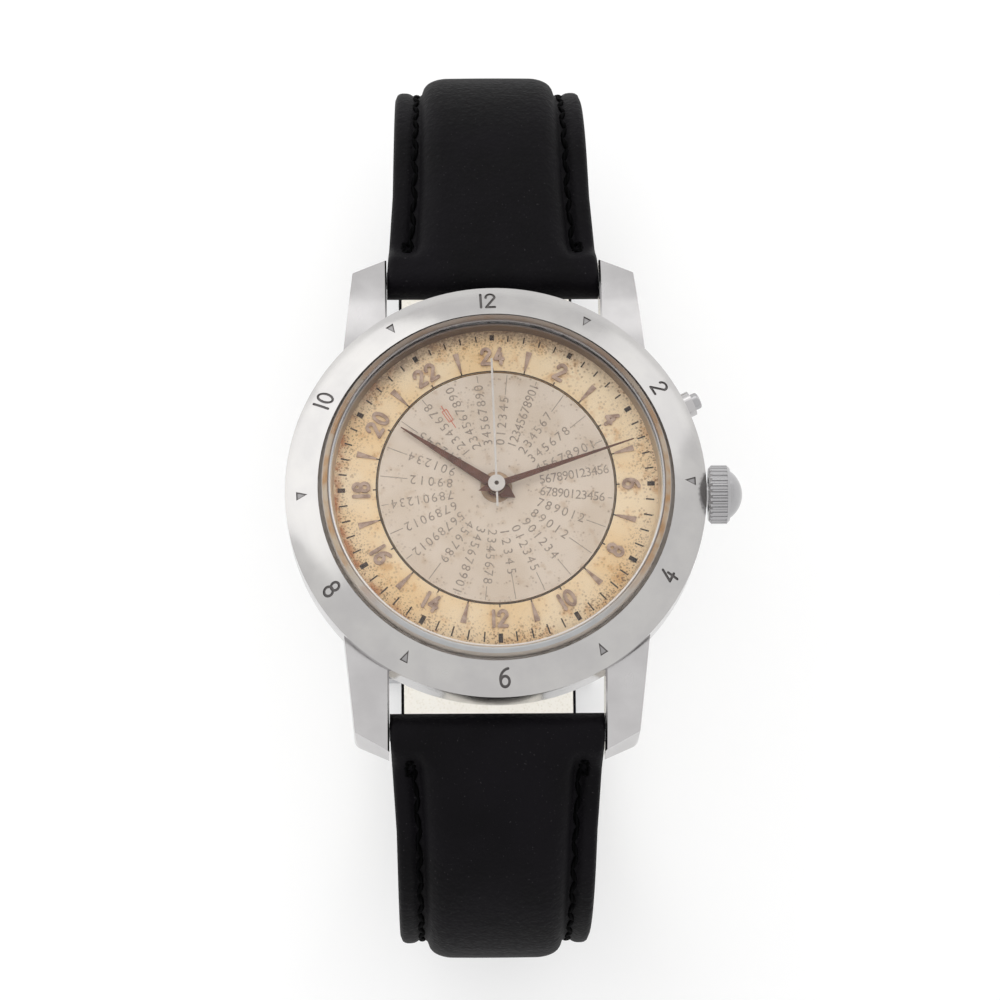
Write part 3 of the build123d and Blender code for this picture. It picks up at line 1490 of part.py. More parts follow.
def winding_pinion():
    """The pinion on the stem, which turns the crown wheel."""
    middle = crown_wheel_reach + contrate_radius
    start = middle - winding_pinion_length / 2
    half_pitch = 90 / winding_pinion_teeth
    points = []
    root = winding_pinion_radius - pinion_groove_depth
    for tooth in range(winding_pinion_teeth):
        angle = (tooth + 0.5) * 360 / winding_pinion_teeth
        for radius, turn in ((root, -half_pitch), (winding_pinion_radius, -half_pitch / 2),
                             (winding_pinion_radius, half_pitch / 2), (root, half_pitch)):
            points.append(polar(radius, angle + turn))
    body = raised(Polygon(*points, align=None), start, start + winding_pinion_length)
    body = Pos(0, 0, stem_height) * Rot(0, 90, 0) * body
    return body - along_x(stem_radius + running_clearance, start - overrun, start + 2 * overrun)


def clutch_wheel():
    """The sliding wheel on the stem, with the groove for the yoke."""
    end = clutch_start + clutch_length
    body = along_x(clutch_radius, clutch_start, end)
    half = clutch_groove_width / 2
    groove = along_x(clutch_radius + overrun, clutch_groove_middle - half, clutch_groove_middle + half)
    groove -= along_x(clutch_groove_radius, clutch_start, end)
    body -= groove
    return body - along_x(stem_radius + running_clearance, clutch_start - overrun, end + overrun)


def pivoted_lever(pivot, tip, pin_bottom):
    """A flat lever under the plate with a pin at its tip."""
    bottom = plate_back + loose_clearance / 2
    outline = stroke(pivot, tip, lever_width) + Pos(*pivot) * Circle(lever_width)
    body = raised(outline, bottom, bottom + lever_thickness)
    body += cylinder(lever_pin_radius, pin_bottom, bottom + lever_thickness, *tip)
    return body - cylinder(post_radius + running_clearance, plate_back, plate_front, *pivot)


def setting_lever():
    """The lever whose pin sits in the stem's groove."""
    pin_bottom = stem_height + stem_groove_radius + running_clearance
    return pivoted_lever(setting_lever_pivot, (stem_groove_reach, 0), pin_bottom)


def yoke():
    """The lever whose pin slides the clutch."""
    pin_bottom = stem_height + clutch_groove_radius + running_clearance
    return pivoted_lever(yoke_pivot, (clutch_groove_middle, 0), pin_bottom)


# The strap's line runs in the plane of Y and Z as arcs that all turn the same way
def follow(start, heading, radius, turn):
    """The end and the centre of an arc that turns clockwise from a heading."""
    first = math.radians(heading)
    last = math.radians(heading - turn)
    middle = start[0] + radius * math.sin(first), start[1] - radius * math.cos(first)
    end = middle[0] - radius * math.sin(last), middle[1] + radius * math.cos(last)
    return end, middle


def strap_path(heading, arcs):
    """The stretches of a strap half from its spring bar to the bottom: length, start, heading, radius."""
    place = (spring_bar_reach, spring_bar_height)
    stretches = []
    for radius, turn in arcs:
        stretches.append((math.radians(turn) * radius, place, heading, radius))
        place, middle = follow(place, heading, radius, turn)
        heading -= turn
    return stretches, place, middle


strap_layer_gap = strap_tail_thickness + strap_play
short_last_turn = 180 - short_heading - short_top_turn - short_side_turn
short_arcs = ((strap_top_radius, short_top_turn), (strap_side_radius, short_side_turn),
              (short_bottom_radius, short_last_turn))
short_path, short_bottom, short_middle = strap_path(-short_heading, short_arcs)
long_last_turn = 180 - long_heading - long_top_turn - long_side_turn
long_first_arcs = ((strap_top_radius, long_top_turn), (strap_side_radius, long_side_turn))
long_side_end = strap_path(-long_heading, long_first_arcs)[1]
long_fall = long_side_end[1] - short_bottom[1] + strap_layer_gap
long_bottom_radius = long_fall / (1 - math.cos(math.radians(long_last_turn)))
long_arcs = long_first_arcs + ((long_bottom_radius, long_last_turn),)
long_path, long_bottom, long_middle = strap_path(-long_heading, long_arcs)
short_straight = short_bottom[0] - buckle_reach
long_straight = long_bottom[0] + short_middle[0]
climb_radius = short_bottom_radius + strap_layer_gap
short_path.append((short_straight, short_bottom, -180, 0))
long_path.append((long_straight, long_bottom, -180, 0))
climb_start = long_bottom[0] - long_straight, long_bottom[1]
long_path.append((math.radians(tail_climb_turn) * climb_radius, climb_start, -180, climb_radius))
short_length = sum(stretch[0] for stretch in short_path)
long_length = sum(stretch[0] for stretch in long_path)
short_level = short_bottom[1]
long_level = long_bottom[1]


def station(path, way):
    """The plane across a strap half at a distance from its spring bar, with its Y axis outwards."""
    for stretch in path:
        length, start, heading, radius = stretch
        if way <= length or stretch is path[-1]:
            break
        way -= length
    if radius:
        turned = math.degrees(way / radius)
        point, middle = follow(start, heading, radius, turned)
        heading -= turned
    else:
        point = start[0] - way, start[1]
    turn = math.radians(heading)
    return Plane(origin=(0, *point), x_dir=(1, 0, 0), z_dir=(0, -math.cos(turn), -math.sin(turn)))


def blended(way, table):
    """A value between the two rows of a table that lie around a distance."""
    for (low, a), (high, b) in zip(table, table[1:]):
        if way <= high:
            return a + (b - a) * (way - low) / (high - low)
    return table[-1][1]


def across(path, way, width_table, thickness_table, layer):
    """One cross-section of a strap layer: the lining, or the upper with its raised pad."""
    half = blended(way, width_table)
    thick = blended(way, thickness_table)
    inside = -strap_inner_share * thick
    outside = inside + thick
    if layer == "lining":
        corners = ((-half, inside), (half, inside), (half, inside + lining_thickness),
                   (-half, inside + lining_thickness))
        return station(path, way) * Polygon(*corners, align=None)
    low = inside + lining_thickness
    side = min(outside, inside + flange_thickness)
    edge = pad_half_width
    foot = min(half, edge + pad_shoulder)
    rise = max(side, outside - pad_crown)
    line = Polyline((-edge, rise), (-foot, side), (-half, side), (-half, low), (half, low),
                    (half, side), (foot, side), (edge, rise))
    crown_line = ThreePointArc((edge, rise), (0, outside), (-edge, rise))
    return station(path, way) * make_face([line, crown_line])


def strap_layer(path, ways, width_table, thickness_table, layer):
    """One strap layer as a straight-sided loft through its cross-sections."""
    sections = [across(path, way, width_table, thickness_table, layer) for way in ways]
    return loft(sections, ruled=True)


def ways_between(first, last, count):
    """Even steps along a strap half."""
    return [first + (last - first) * step / count for step in range(count + 1)]


def width_table(length):
    """How a strap half narrows from its lug end."""
    return ((0, strap_half_width), (strap_shoulder_length, strap_shoulder_half_width),
            (strap_narrowing_length, strap_tail_half_width), (length, strap_tail_half_width))


def thickness_table(length):
    """How a strap half thins from its lug end."""
    return ((0, strap_lug_thickness), (strap_end_length, strap_lug_thickness),
            (strap_thick_length, strap_middle_thickness), (strap_thin_length, strap_tail_thickness),
            (length, strap_tail_thickness))


def lug_end(side):
    """The rolled end of a strap half round its spring bar, and the hole through it."""
    y = side * spring_bar_reach
    half = strap_half_width
    roll = along_x(strap_lug_thickness / 2, -half, half, spring_bar_height, y)
    hole = along_x(strap_bar_hole_radius, -half - overrun, half + overrun, spring_bar_height, y)
    return roll, hole


def strap_half(path, length, steps, side):
    """The upper and the lining of one half, before the buckle work."""
    widths = width_table(length)
    thicknesses = thickness_table(length)
    upper = strap_layer(path, ways_between(0, length, steps), widths, thicknesses, "upper")
    end_face = [across(path, way, widths, ((0, strap_lug_thickness), (length, strap_lug_thickness)), "lining")
                for way in (0, strap_end_length)]
    upper += loft(end_face, ruled=True)
    lining = strap_layer(path, ways_between(strap_end_length, length, steps), widths, thicknesses, "lining")
    if side < 0:
        upper = mirror(upper, Plane.XZ)
        lining = mirror(lining, Plane.XZ)
    roll, hole = lug_end(side)
    return upper + roll - hole, lining - upper


buckle_bar_y = buckle_reach
crossbar_y = buckle_bar_y - buckle_length
frame_floor = long_level - strap_tail_thickness / 2 - buckle_end_gap
outer_level = frame_floor - buckle_end_thickness


def strap_short():
    """The short half, whose end wraps the buckle's bar with a slot for the prong."""
    upper, lining = strap_half(short_path, short_length, strap_steps, 1)
    end = along_x(strap_tail_thickness / 2, -strap_tail_half_width, strap_tail_half_width,
                  short_level, buckle_bar_y)
    hole = along_x(buckle_bar_radius + running_clearance, -strap_half_width, strap_half_width,
                   short_level, buckle_bar_y)
    half = prong_width / 2 + leather_clearance
    slot = block((-half, buckle_bar_y - strap_tail_thickness, short_level - strap_tail_thickness),
                 (half, buckle_bar_y + pin_slot_length, short_level + strap_tail_thickness))
    upper = upper + end - hole - slot
    return upper, lining - end - slot


def hole_places():
    """Where the long half's holes lie, counted from the one in use."""
    middle = buckle_bar_y - prong_hole_offset
    steps = range(-strap_holes_each_way, strap_holes_each_way + 1)
    return [(step, middle + step * strap_hole_pitch) for step in steps]


def strap_long():
    """The long half with its holes, which ends in a point past the keepers."""
    upper, lining = strap_half(long_path, long_length, strap_steps + strap_steps // 2, -1)
    low = long_level - 2 * strap_tail_thickness
    high = long_level + strap_tail_thickness
    for step, y in hole_places():
        hole = cylinder(strap_hole_radius, low, high, 0, y)
        if step == 0:
            half = pin_slot_length / 2 - strap_hole_radius
            slot = SlotCenterToCenter(2 * half, 2 * strap_hole_radius, rotation=90)
            hole = raised(Pos(0, y) * slot, low, high)
        upper -= hole
        lining -= hole
    tip = station(long_path, long_length).origin
    reach = -tip.Y
    far = strap_half_width + overrun
    for side in (-1, 1):
        corner = plate(((side * tail_point_half_width, reach + overrun),
                        (side * far, reach - tail_point_length), (side * far, reach + overrun)),
                       low, high + strap_side_radius)
        upper -= corner
        lining -= corner
    return upper, lining


def buckle_frame():
    """The pin buckle's frame: two arms from the bar and a cross-bar with a notch for the prong."""
    inner = buckle_window
    outer = buckle_window + buckle_arm_width
    eye = buckle_arm_thickness / 2
    outline = make_face(Polyline(
        (buckle_bar_y + eye, short_level + eye), (buckle_bar_y + eye, short_level - eye),
        (crossbar_y + buckle_end_width, outer_level), (crossbar_y, outer_level),
        (crossbar_y, frame_floor), (crossbar_y + buckle_end_width, frame_floor),
        (buckle_bar_y - 2 * eye, short_level + eye), close=True))
    body = Part()
    for start in (-outer, inner):
        body += widened(outline, start, start + buckle_arm_width)
    body += block((-outer, crossbar_y, outer_level), (outer, crossbar_y + buckle_end_width, frame_floor))
    edges = body.edges().filter_by(Axis.X).filter_by_position(Axis.Y, crossbar_y - seat_clearance,
                                                             crossbar_y + seat_clearance)
    body = fillet(edges, buckle_edge_round)
    half = prong_width / 2 + loose_clearance
    notch_depth = prong_thickness + running_clearance
    body -= block((-half, crossbar_y - overrun, outer_level - overrun),
                  (half, crossbar_y + buckle_end_width + overrun, outer_level + notch_depth))
    hole = along_x(spring_bar_pivot_radius, -outer - overrun, outer + overrun, short_level, buckle_bar_y)
    return body - hole


def buckle_prong():
    """The prong: an eye round the bar, and a tongue through the strap's hole to the notch."""
    half = prong_width / 2
    eye = along_x(prong_eye_radius, -half, half, short_level, buckle_bar_y)
    low = outer_level
    top = outer_level + prong_thickness
    start = buckle_bar_y - prong_eye_radius / 2
    crest = buckle_bar_y - prong_bend_reach
    outline = make_face(Polyline(
        (start + prong_thickness, short_level), (crest + prong_thickness, low), (crossbar_y, low),
        (crossbar_y, top), (crest, top), (start - prong_thickness / 2, short_level), close=True))
    tongue = widened(outline, -half, half)
    hole = along_x(buckle_bar_radius + running_clearance, -prong_width, prong_width,
                   short_level, buckle_bar_y)
    return eye + tongue - hole


def buckle_bar():
    """The bar that joins the buckle to the short half."""
    shoulder = buckle_window - seat_clearance
    end = buckle_window + buckle_arm_width - seat_clearance
    body = along_x(buckle_bar_radius, -shoulder, shoulder, short_level, buckle_bar_y)
    return body + along_x(spring_bar_pivot_radius - running_clearance, -end, end, short_level, buckle_bar_y)


def keeper(reach, play):
    """A flat leather loop round both strap halves."""
    inner_half = strap_tail_half_width + leather_clearance
    inner_top = short_level + strap_tail_thickness / 2 + play
    inner_bottom = frame_floor
    start = reach - keeper_width / 2
    end = reach + keeper_width / 2
    outer_half = inner_half + keeper_wall
    body = block((-outer_half, start, outer_level), (outer_half, end, inner_top + keeper_wall))
    return body - block((-inner_half, start - overrun, inner_bottom), (inner_half, end + overrun, inner_top))


short_upper, short_lining = strap_short()
long_upper, long_lining = strap_long()

write("case_middle", case_middle())
write("bezel", bezel())
write("crystal", crystal())
write("tension_ring", tension_ring())
write("case_back", case_back())
write("case_back_gasket", case_back_gasket())
write("crown", crown())
write("winding_stem", winding_stem())
write("crown_tube", crown_tube())
write("pusher_button", pusher_button())
write("pusher_tube", pusher_tube())
write("pusher_spring", pusher_spring())
write("corrector_lever", corrector_lever())
write("spring_bars", spring_bars())
write("dial", dial())
write("hour_numerals", hour_numerals())
write("hour_wedges", hour_wedges())
write("world_disc", world_disc())
write("hour_hand", hour_hand())
write("minute_hand", minute_hand())
write("seconds_hand", seconds_hand())
write("movement_holder", movement_holder())
write("casing_clamps", casing_clamps())
write("movement_screws", movement_screws())
write("main_plate", main_plate())
write("barrel_bridge", barrel_bridge())
write("train_bridge", train_bridge())
write("balance_cock", balance_cock())
write("pallet_bridge", pallet_bridge())
write("jewels", jewels())
write("mainspring_barrel", mainspring_barrel())
write("mainspring", mainspring())
write("barrel_arbor", barrel_arbor())
write("ratchet_wheel", ratchet_wheel())
write("crown_wheel", crown_wheel())
write("click", click())
write("winding_pinion", winding_pinion())
write("clutch_wheel", clutch_wheel())
write("setting_lever", setting_lever())
write("yoke", yoke())
write("great_wheel", great_wheel())
write("third_wheel", third_wheel())
write("fourth_wheel", fourth_wheel())
write("escape_wheel", escape_wheel())
write("pallet_fork", pallet_fork())
write("balance_wheel", balance_wheel())
write("hairspring", hairspring())
write("cannon_pinion", cannon_pinion())
write("minute_wheel", minute_wheel())
write("hour_wheel", hour_wheel())
write("disc_wheel", disc_wheel())
write("strap_short_upper", short_upper)
write("strap_short_lining", short_lining)
write("strap_long_upper", long_upper)
write("strap_long_lining", long_lining)
write("buckle_frame", buckle_frame())
write("buckle_prong", buckle_prong())
write("buckle_bar", buckle_bar())
write("fixed_keeper", keeper(fixed_keeper_reach, 0))
write("free_keeper", keeper(free_keeper_reach, strap_play))
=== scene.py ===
import math

import bpy
from mathutils import Matrix, Vector


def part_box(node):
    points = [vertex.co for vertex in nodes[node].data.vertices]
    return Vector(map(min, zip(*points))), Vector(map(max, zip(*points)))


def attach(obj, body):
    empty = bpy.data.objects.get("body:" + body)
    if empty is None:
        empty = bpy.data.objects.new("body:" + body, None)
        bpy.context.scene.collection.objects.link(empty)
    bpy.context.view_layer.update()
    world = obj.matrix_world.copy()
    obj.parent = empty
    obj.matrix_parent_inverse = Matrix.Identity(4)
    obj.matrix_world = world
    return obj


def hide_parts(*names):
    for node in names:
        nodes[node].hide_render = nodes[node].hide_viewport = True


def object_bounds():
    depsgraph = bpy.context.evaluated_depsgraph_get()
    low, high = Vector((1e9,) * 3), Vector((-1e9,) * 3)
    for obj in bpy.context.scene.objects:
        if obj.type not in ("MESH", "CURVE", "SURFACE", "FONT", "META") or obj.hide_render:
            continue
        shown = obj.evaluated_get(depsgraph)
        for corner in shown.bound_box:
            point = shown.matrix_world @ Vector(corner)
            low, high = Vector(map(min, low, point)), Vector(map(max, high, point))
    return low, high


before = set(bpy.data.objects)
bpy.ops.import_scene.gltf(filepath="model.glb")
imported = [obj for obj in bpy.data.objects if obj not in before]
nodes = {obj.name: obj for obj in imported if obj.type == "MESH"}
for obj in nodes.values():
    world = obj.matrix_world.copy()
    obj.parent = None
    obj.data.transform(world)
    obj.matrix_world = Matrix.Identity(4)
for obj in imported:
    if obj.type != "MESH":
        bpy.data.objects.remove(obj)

cad_box = [list(corner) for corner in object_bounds()]


# Studio: a white floor under the buckle and an even white sky, a wide soft box at the upper left, a
# narrow one at the upper right and a dim one above, and a long lens that looks from below the axis.
floor_level = cad_box[0][2]
floor_size = 3.0
lens_distance = 0.55
lens_tilt = math.radians(14.2)
lens_side = math.radians(-1.3)
lens_roll = math.radians(-0.6)
lens_length = 232.8
lens_shift = (0.0037, -0.0129)
lens_sensor = 36
clip_range = (0.01, 20)
dial_face = 0.0079
floor_glow_share = 0.4
plain_white = (1, 1, 1, 1)

scene = bpy.context.scene
scene.view_settings.view_transform = "Standard"
bpy.ops.object.select_all(action="DESELECT")

lens = bpy.data.cameras.new("lens")
lens.sensor_width = lens_sensor
lens.lens = lens_length
lens.shift_x, lens.shift_y = lens_shift
lens.clip_start, lens.clip_end = clip_range
camera = bpy.data.objects.new("camera", lens)
scene.collection.objects.link(camera)
aim = (Matrix.Rotation(lens_side, 4, "Y") @ Matrix.Rotation(lens_tilt, 4, "X")
       @ Matrix.Rotation(lens_roll, 4, "Z"))
camera.matrix_world = (Matrix.Translation((0, 0, dial_face)) @ aim
                       @ Matrix.Translation((0, 0, lens_distance)))
scene.camera = camera


def soft_box(name, azimuth, elevation, distance, width, height, radiance):
    """A soft box of even brightness that points at the watch."""
    light = bpy.data.lights.new(name, "AREA")
    light.shape = "RECTANGLE"
    light.size = width
    light.size_y = height
    light.energy = radiance * math.pi * width * height
    lamp = bpy.data.objects.new(name, light)
    scene.collection.objects.link(lamp)
    turn = math.radians(azimuth)
    rise = math.radians(elevation)
    place = Vector((math.cos(rise) * math.cos(turn), math.cos(rise) * math.sin(turn), math.sin(rise)))
    lamp.location = place * distance
    lamp.rotation_euler = (-place).to_track_quat("-Z", "Y").to_euler()


soft_box("left_softbox", azimuth=145, elevation=28, distance=0.5, width=0.72, height=0.58, radiance=0.75)
soft_box("right_softbox", azimuth=45, elevation=25, distance=0.5, width=0.30, height=0.50, radiance=0.50)
soft_box("top_softbox", azimuth=90, elevation=50, distance=0.5, width=0.36, height=0.24, radiance=0.40)


class Tone:
    """A value in a node tree, so that sums and products of values add their nodes."""

    def __init__(self, tree, socket):
        self.tree = tree
        self.socket = socket

    def node(self, kind, settings=None, *values, **named):
        """Add a node, make its settings, fill its sockets in order or by name, and give its result."""
        made = self.tree.nodes.new("ShaderNode" + kind)
        for key, value in (settings or {}).items():
            setattr(made, key, value)
        sockets = [socket for socket in made.inputs if socket.enabled]
        pairs = list(zip(sockets, values))
        for key, value in named.items():
            match = [socket for socket in sockets if socket.name.replace(" ", "_") == key]
            pairs.append((match[0], value))
        for socket, value in pairs:
            if isinstance(value, Tone):
                self.tree.links.new(value.socket, socket)
            else:
                socket.default_value = value
        results = [socket for socket in made.outputs if socket.enabled]
        return Tone(self.tree, results[0])

    def math(self, operation, *values):
        """The result of one sum on these values."""
        return self.node("Math", {"operation": operation}, *values)

    def __add__(self, other):
        return self.math("ADD", self, other)

    def __radd__(self, other):
        return self.math("ADD", other, self)

    def __sub__(self, other):
        return self.math("SUBTRACT", self, other)

    def __rsub__(self, other):
        return self.math("SUBTRACT", other, self)

    def __mul__(self, other):
        return self.math("MULTIPLY", self, other)

    def __rmul__(self, other):
        return self.math("MULTIPLY", other, self)

    def rises(self, low, high):
        """Nought below low, one above high and a smooth rise between."""
        return self.node("MapRange", {"interpolation_type": "SMOOTHSTEP"}, self, low, high, 0.0, 1.0)

    def blend(self, first, second):
        """The first colour where this is nought and the second where it is one."""
        return self.node("Mix", {"data_type": "RGBA"}, self, first, second)

    def noise(self, scale, detail=3.0, roughness=0.5):
        """Cloudy noise from nought to one over these coordinates."""
        return self.node("TexNoise", None, Vector=self, Scale=scale, Detail=detail, Roughness=roughness)

    def cells(self, feature, scale):
        """Distances to scattered points over these coordinates."""
        return self.node("TexVoronoi", {"feature": feature}, Vector=self, Scale=scale)

    def stretched(self, x, y, z):
        """These coordinates scaled along each axis."""
        return self.node("VectorMath", {"operation": "MULTIPLY"}, self, (x, y, z))

    def part(self, axis):
        """One coordinate of a place."""
        made = self.node("SeparateXYZ", None, self)
        return Tone(self.tree, made.socket.node.outputs[axis])

    def reach(self):
        """How far a place lies from the axis of the hands."""
        x = self.part(0)
        y = self.part(1)
        return self.math("SQRT", x * x + y * y)


def rgb(red, green, blue):
    """A colour written as on a screen, from 0 to 255, as the shader's own values."""
    shares = []
    for value in (red, green, blue):
        share = value / 255
        shares.append(share / 12.92 if share <= 0.04045 else ((share + 0.055) / 1.055) ** 2.4)
    return (*shares, 1.0)


def finish(name, metallic=0.0, roughness=0.5, **uniform):
    """A new material, the places on its surface, and a function that links values to its shader."""
    material = bpy.data.materials.new(name)
    material.use_nodes = True
    tree = material.node_tree
    shader = tree.nodes["Principled BSDF"]
    shader.inputs["Metallic"].default_value = metallic
    shader.inputs["Roughness"].default_value = roughness
    for key, value in uniform.items():
        shader.inputs[key.replace("_", " ")].default_value = value
    place = Tone(tree, tree.nodes.new("ShaderNodeTexCoord").outputs["Object"])

    def dress(**links):
        """Put values or changing tones on the shader's sockets, and a height on its bump."""
        for key, value in links.items():
            if key == "Bump":
                height, strength, distance = value
                value = height.node("Bump", None, Strength=strength, Distance=distance, Height=height)
                key = "Normal"
            socket = shader.inputs[key.replace("_", " ")]
            if isinstance(value, Tone):
                tree.links.new(value.socket, socket)
            else:
                socket.default_value = value
    return material, place, dress


def paint(material, *names):
    """Give CAD nodes this material."""
    for name in names:
        data = nodes[name].data
        data.materials.clear()
        data.materials.append(material)


def seen_plainly(tree):
    """One for a ray from the lens, or one that metal or glass sends on, and nought for other light."""
    rays = tree.nodes.new("ShaderNodeLightPath")
    straight = Tone(tree, rays.outputs["Is Camera Ray"])
    mirrored = Tone(tree, rays.outputs["Is Glossy Ray"])
    refracted = Tone(tree, rays.outputs["Is Transmission Ray"])
    either = straight.math("MAXIMUM", straight, mirrored)
    return either.math("MAXIMUM", either, refracted)


def mixed_in(tree, share, first, second):
    """Let this share of the surface be the second shader and the rest the first."""
    mixed = tree.nodes.new("ShaderNodeMixShader")
    tree.links.new(share.socket, mixed.inputs[0])
    tree.links.new(first.outputs[0], mixed.inputs[1])
    tree.links.new(second.outputs[0], mixed.inputs[2])
    tree.links.new(mixed.outputs[0], tree.nodes["Material Output"].inputs["Surface"])


sky = bpy.data.worlds.new("sky")
sky.use_nodes = True
scene.world = sky
backdrop = sky.node_tree.nodes["Background"]
backdrop.inputs["Color"].default_value = plain_white
backdrop.inputs["Strength"].default_value = 1

bpy.ops.mesh.primitive_plane_add(size=floor_size, location=(0, 0, floor_level))
floor = bpy.context.object
floor.name = "floor"
floor_paint, place, dress = finish("floor_white", roughness=0.9)
dress(Base_Color=rgb(254, 254, 254))
tree = floor_paint.node_tree
glow = tree.nodes.new("ShaderNodeEmission")
glow.inputs["Color"].default_value = plain_white
mixed_in(tree, seen_plainly(tree) * floor_glow_share, tree.nodes["Principled BSDF"], glow)
floor.data.materials.append(floor_paint)


# Case band with its four lugs, the crown and the pusher: stainless steel, turned, milled and polished,
# with the fine hairlines and the soft clouding of an old watch.
hairline_depth = 0.00002
hairline_scale = 900.0
cloud_scale = 260.0
cloud_range = (0.3, 0.7)
wear_range = (0.35, 0.75)
tint_rise = 10


def polished(name, tint, rough, streaks):
    """Polished steel with faint hairlines along one axis."""
    steel, place, dress = finish(name, metallic=1.0, roughness=rough)
    clouds = place.noise(cloud_scale)
    lines = place.stretched(*streaks).noise(hairline_scale, 2.0)
    bright = [min(255, value + tint_rise) for value in tint]
    dress(Base_Color=clouds.rises(*cloud_range).blend(rgb(*tint), rgb(*bright)),
          Roughness=rough + 0.10 * clouds.rises(*wear_range) + 0.08 * lines.rises(0.45, 0.8),
          Bump=(lines, 0.05, hairline_depth))
    return steel


case_steel = polished("case_steel", (186, 184, 184), 0.14, (1.0, 0.15, 1.0))
paint(case_steel, "case_middle", "crown_tube", "pusher_tube")

crown_steel = polished("crown_steel", (168, 167, 168), 0.20, (0.15, 1.0, 1.0))
paint(crown_steel, "crown", "pusher_button", "winding_stem")


# Bezel: a domed steel ring pressed over the case's collar and polished. Its hours and triangles are cut
# in the dome, the hours filled dark and the triangles grey with dark walls.
dome_centre = (0.012445, 0.001136)
dome_radius = 0.007723
cut_depths = (0.00003, 0.00007)
cut_band = (0.0153, 0.0155, 0.0176, 0.0178)
marker_reach = 0.01655
marker_length = 0.00095
marker_width = 0.00075
marker_turn = math.radians(2.0)
marker_spacing = math.radians(60)
marker_walls = (0.00007, 0.00012)
turning_scale = 5200.0
bezel_cloud_scale = 300.0
bezel_steel, place, dress = finish("bezel_steel", metallic=1.0)
reach = place.reach()
height = place.part(2)
out = reach - dome_centre[0]
depth = out.math("SQRT", dome_radius**2 - out * out) + dome_centre[1] - height
band = reach.rises(cut_band[0], cut_band[1]) * (1 - reach.rises(cut_band[2], cut_band[3]))
filled = depth.rises(*cut_depths) * band
angle = place.math("ARCTAN2", place.part(1), place.part(0))
across = reach * angle.math("PINGPONG", angle - marker_turn, marker_spacing / 2)
along = reach - marker_reach
from_side = (along + marker_length / 2) * (marker_width / 2 / marker_length) - across
from_wall = along.math("MINIMUM", from_side, marker_length / 2 - along)
turned = reach.node("CombineXYZ", None, reach, height, 0.0).noise(turning_scale, 2.0)
clouds = place.noise(bezel_cloud_scale)
steel = clouds.rises(*cloud_range).blend(rgb(184, 182, 181), rgb(192, 190, 188))
ink = from_wall.rises(*marker_walls).blend(rgb(88, 84, 83), rgb(150, 148, 148))
dress(Base_Color=filled.blend(steel, ink), Metallic=1 - filled * 0.8,
      Roughness=0.17 + 0.08 * clouds.rises(*wear_range) + 0.04 * turned.rises(0.4, 0.8) + 0.3 * filled,
      Bump=(turned, 0.05, hairline_depth))
paint(bezel_steel, "bezel")


# Case back, its gasket and the ring that holds the movement: brushed steel, pressed and clamped from
# behind, with a rubber ring between the back and the case. Spring bars and lever are of the same steel.
brushing_scale = 4200.0
back_steel, place, dress = finish("back_steel", metallic=1.0)
reach = place.reach()
brushed = reach.node("CombineXYZ", None, reach, 0.0, 0.0).noise(brushing_scale, 4.0)
dress(Base_Color=brushed.rises(*cloud_range).blend(rgb(160, 160, 162), rgb(192, 192, 193)),
      Roughness=0.28 + 0.18 * brushed, Bump=(brushed, 0.12, hairline_depth))
paint(back_steel, "case_back", "movement_holder", "casing_clamps", "corrector_lever", "spring_bars")

gasket_rubber, place, dress = finish("gasket_rubber", roughness=0.6)
dress(Base_Color=place.noise(800.0).blend(rgb(18, 18, 18), rgb(34, 34, 34)))
paint(gasket_rubber, "case_back_gasket")


# Crystal: one moulded and polished acrylic dome with a straight wall, clear enough to read the dial,
# held out against the bezel by a steel ring. Its wall's colour is painted: the dial's light refracted as
# a cream band, a painted highlight ring, a painted dark ring, a painted reflection towards the bottom
# and painted shade towards the top.
wall_start = (0.01410, 0.01418)
painted_highlight_ring = (0.01424, 0.01430)
painted_dark_ring = (0.01436, 0.01441)
painted_outer_edge = (0.01476, 0.01482)
shaded_wall = (0.0000, 0.0135)
painted_reflection_rise = (0.0060, 0.0130)
wall_shade = 0.8
painted_wall_shares = (0.40, 0.16)
acrylic_index = 1.45
glance_share = 0.8
densest_share = 0.9
crystal_clear, place, dress = finish("crystal_acrylic", roughness=0.03, Specular_IOR_Level=0.5)
tree = crystal_clear.node_tree
reach = place.reach()
# Painted refraction: the dial's cream and orange, seen through the wall, painted on the wall itself.
painted_dial_refraction = place.noise(420.0, 3.0).rises(0.4, 0.65).blend(rgb(222, 204, 180), rgb(206, 160, 112))
# Painted reflection: the wall turns bluish white towards the bottom.
painted_refraction_and_reflection = (place.part(1) * -1.0).rises(*painted_reflection_rise).blend(painted_dial_refraction, rgb(214, 216, 218))
# A painted highlight ring and a painted dark ring round the inside of the wall, and a pale painted outer
# edge.
painted_highlight_and_dark_rings = reach.rises(*painted_highlight_ring).blend(rgb(236, 236, 238), rgb(138, 122, 110))
painted_rim_rings = reach.rises(*painted_dark_ring).blend(painted_highlight_and_dark_rings, painted_refraction_and_reflection)
painted_rim_tones = reach.rises(*painted_outer_edge).blend(painted_rim_rings, rgb(212, 200, 188))
# Painted shade: the wall darkens towards the top.
shade = place.part(1).rises(*shaded_wall) * wall_shade
dress(Base_Color=shade.blend(painted_rim_tones, rgb(112, 98, 90)))
through = tree.nodes.new("ShaderNodeBsdfTransparent")
glance = reach.node("Fresnel", None, IOR=acrylic_index)
# The painted wall colour shows over this share of the wall.
painted_wall_share = reach.rises(*wall_start) * (painted_wall_shares[0] + painted_wall_shares[1] * place.noise(600.0))
share = reach.math("MINIMUM", glance * glance_share + painted_wall_share, densest_share)
mixed_in(tree, share, through, tree.nodes["Principled BSDF"])
paint(crystal_clear, "crystal")

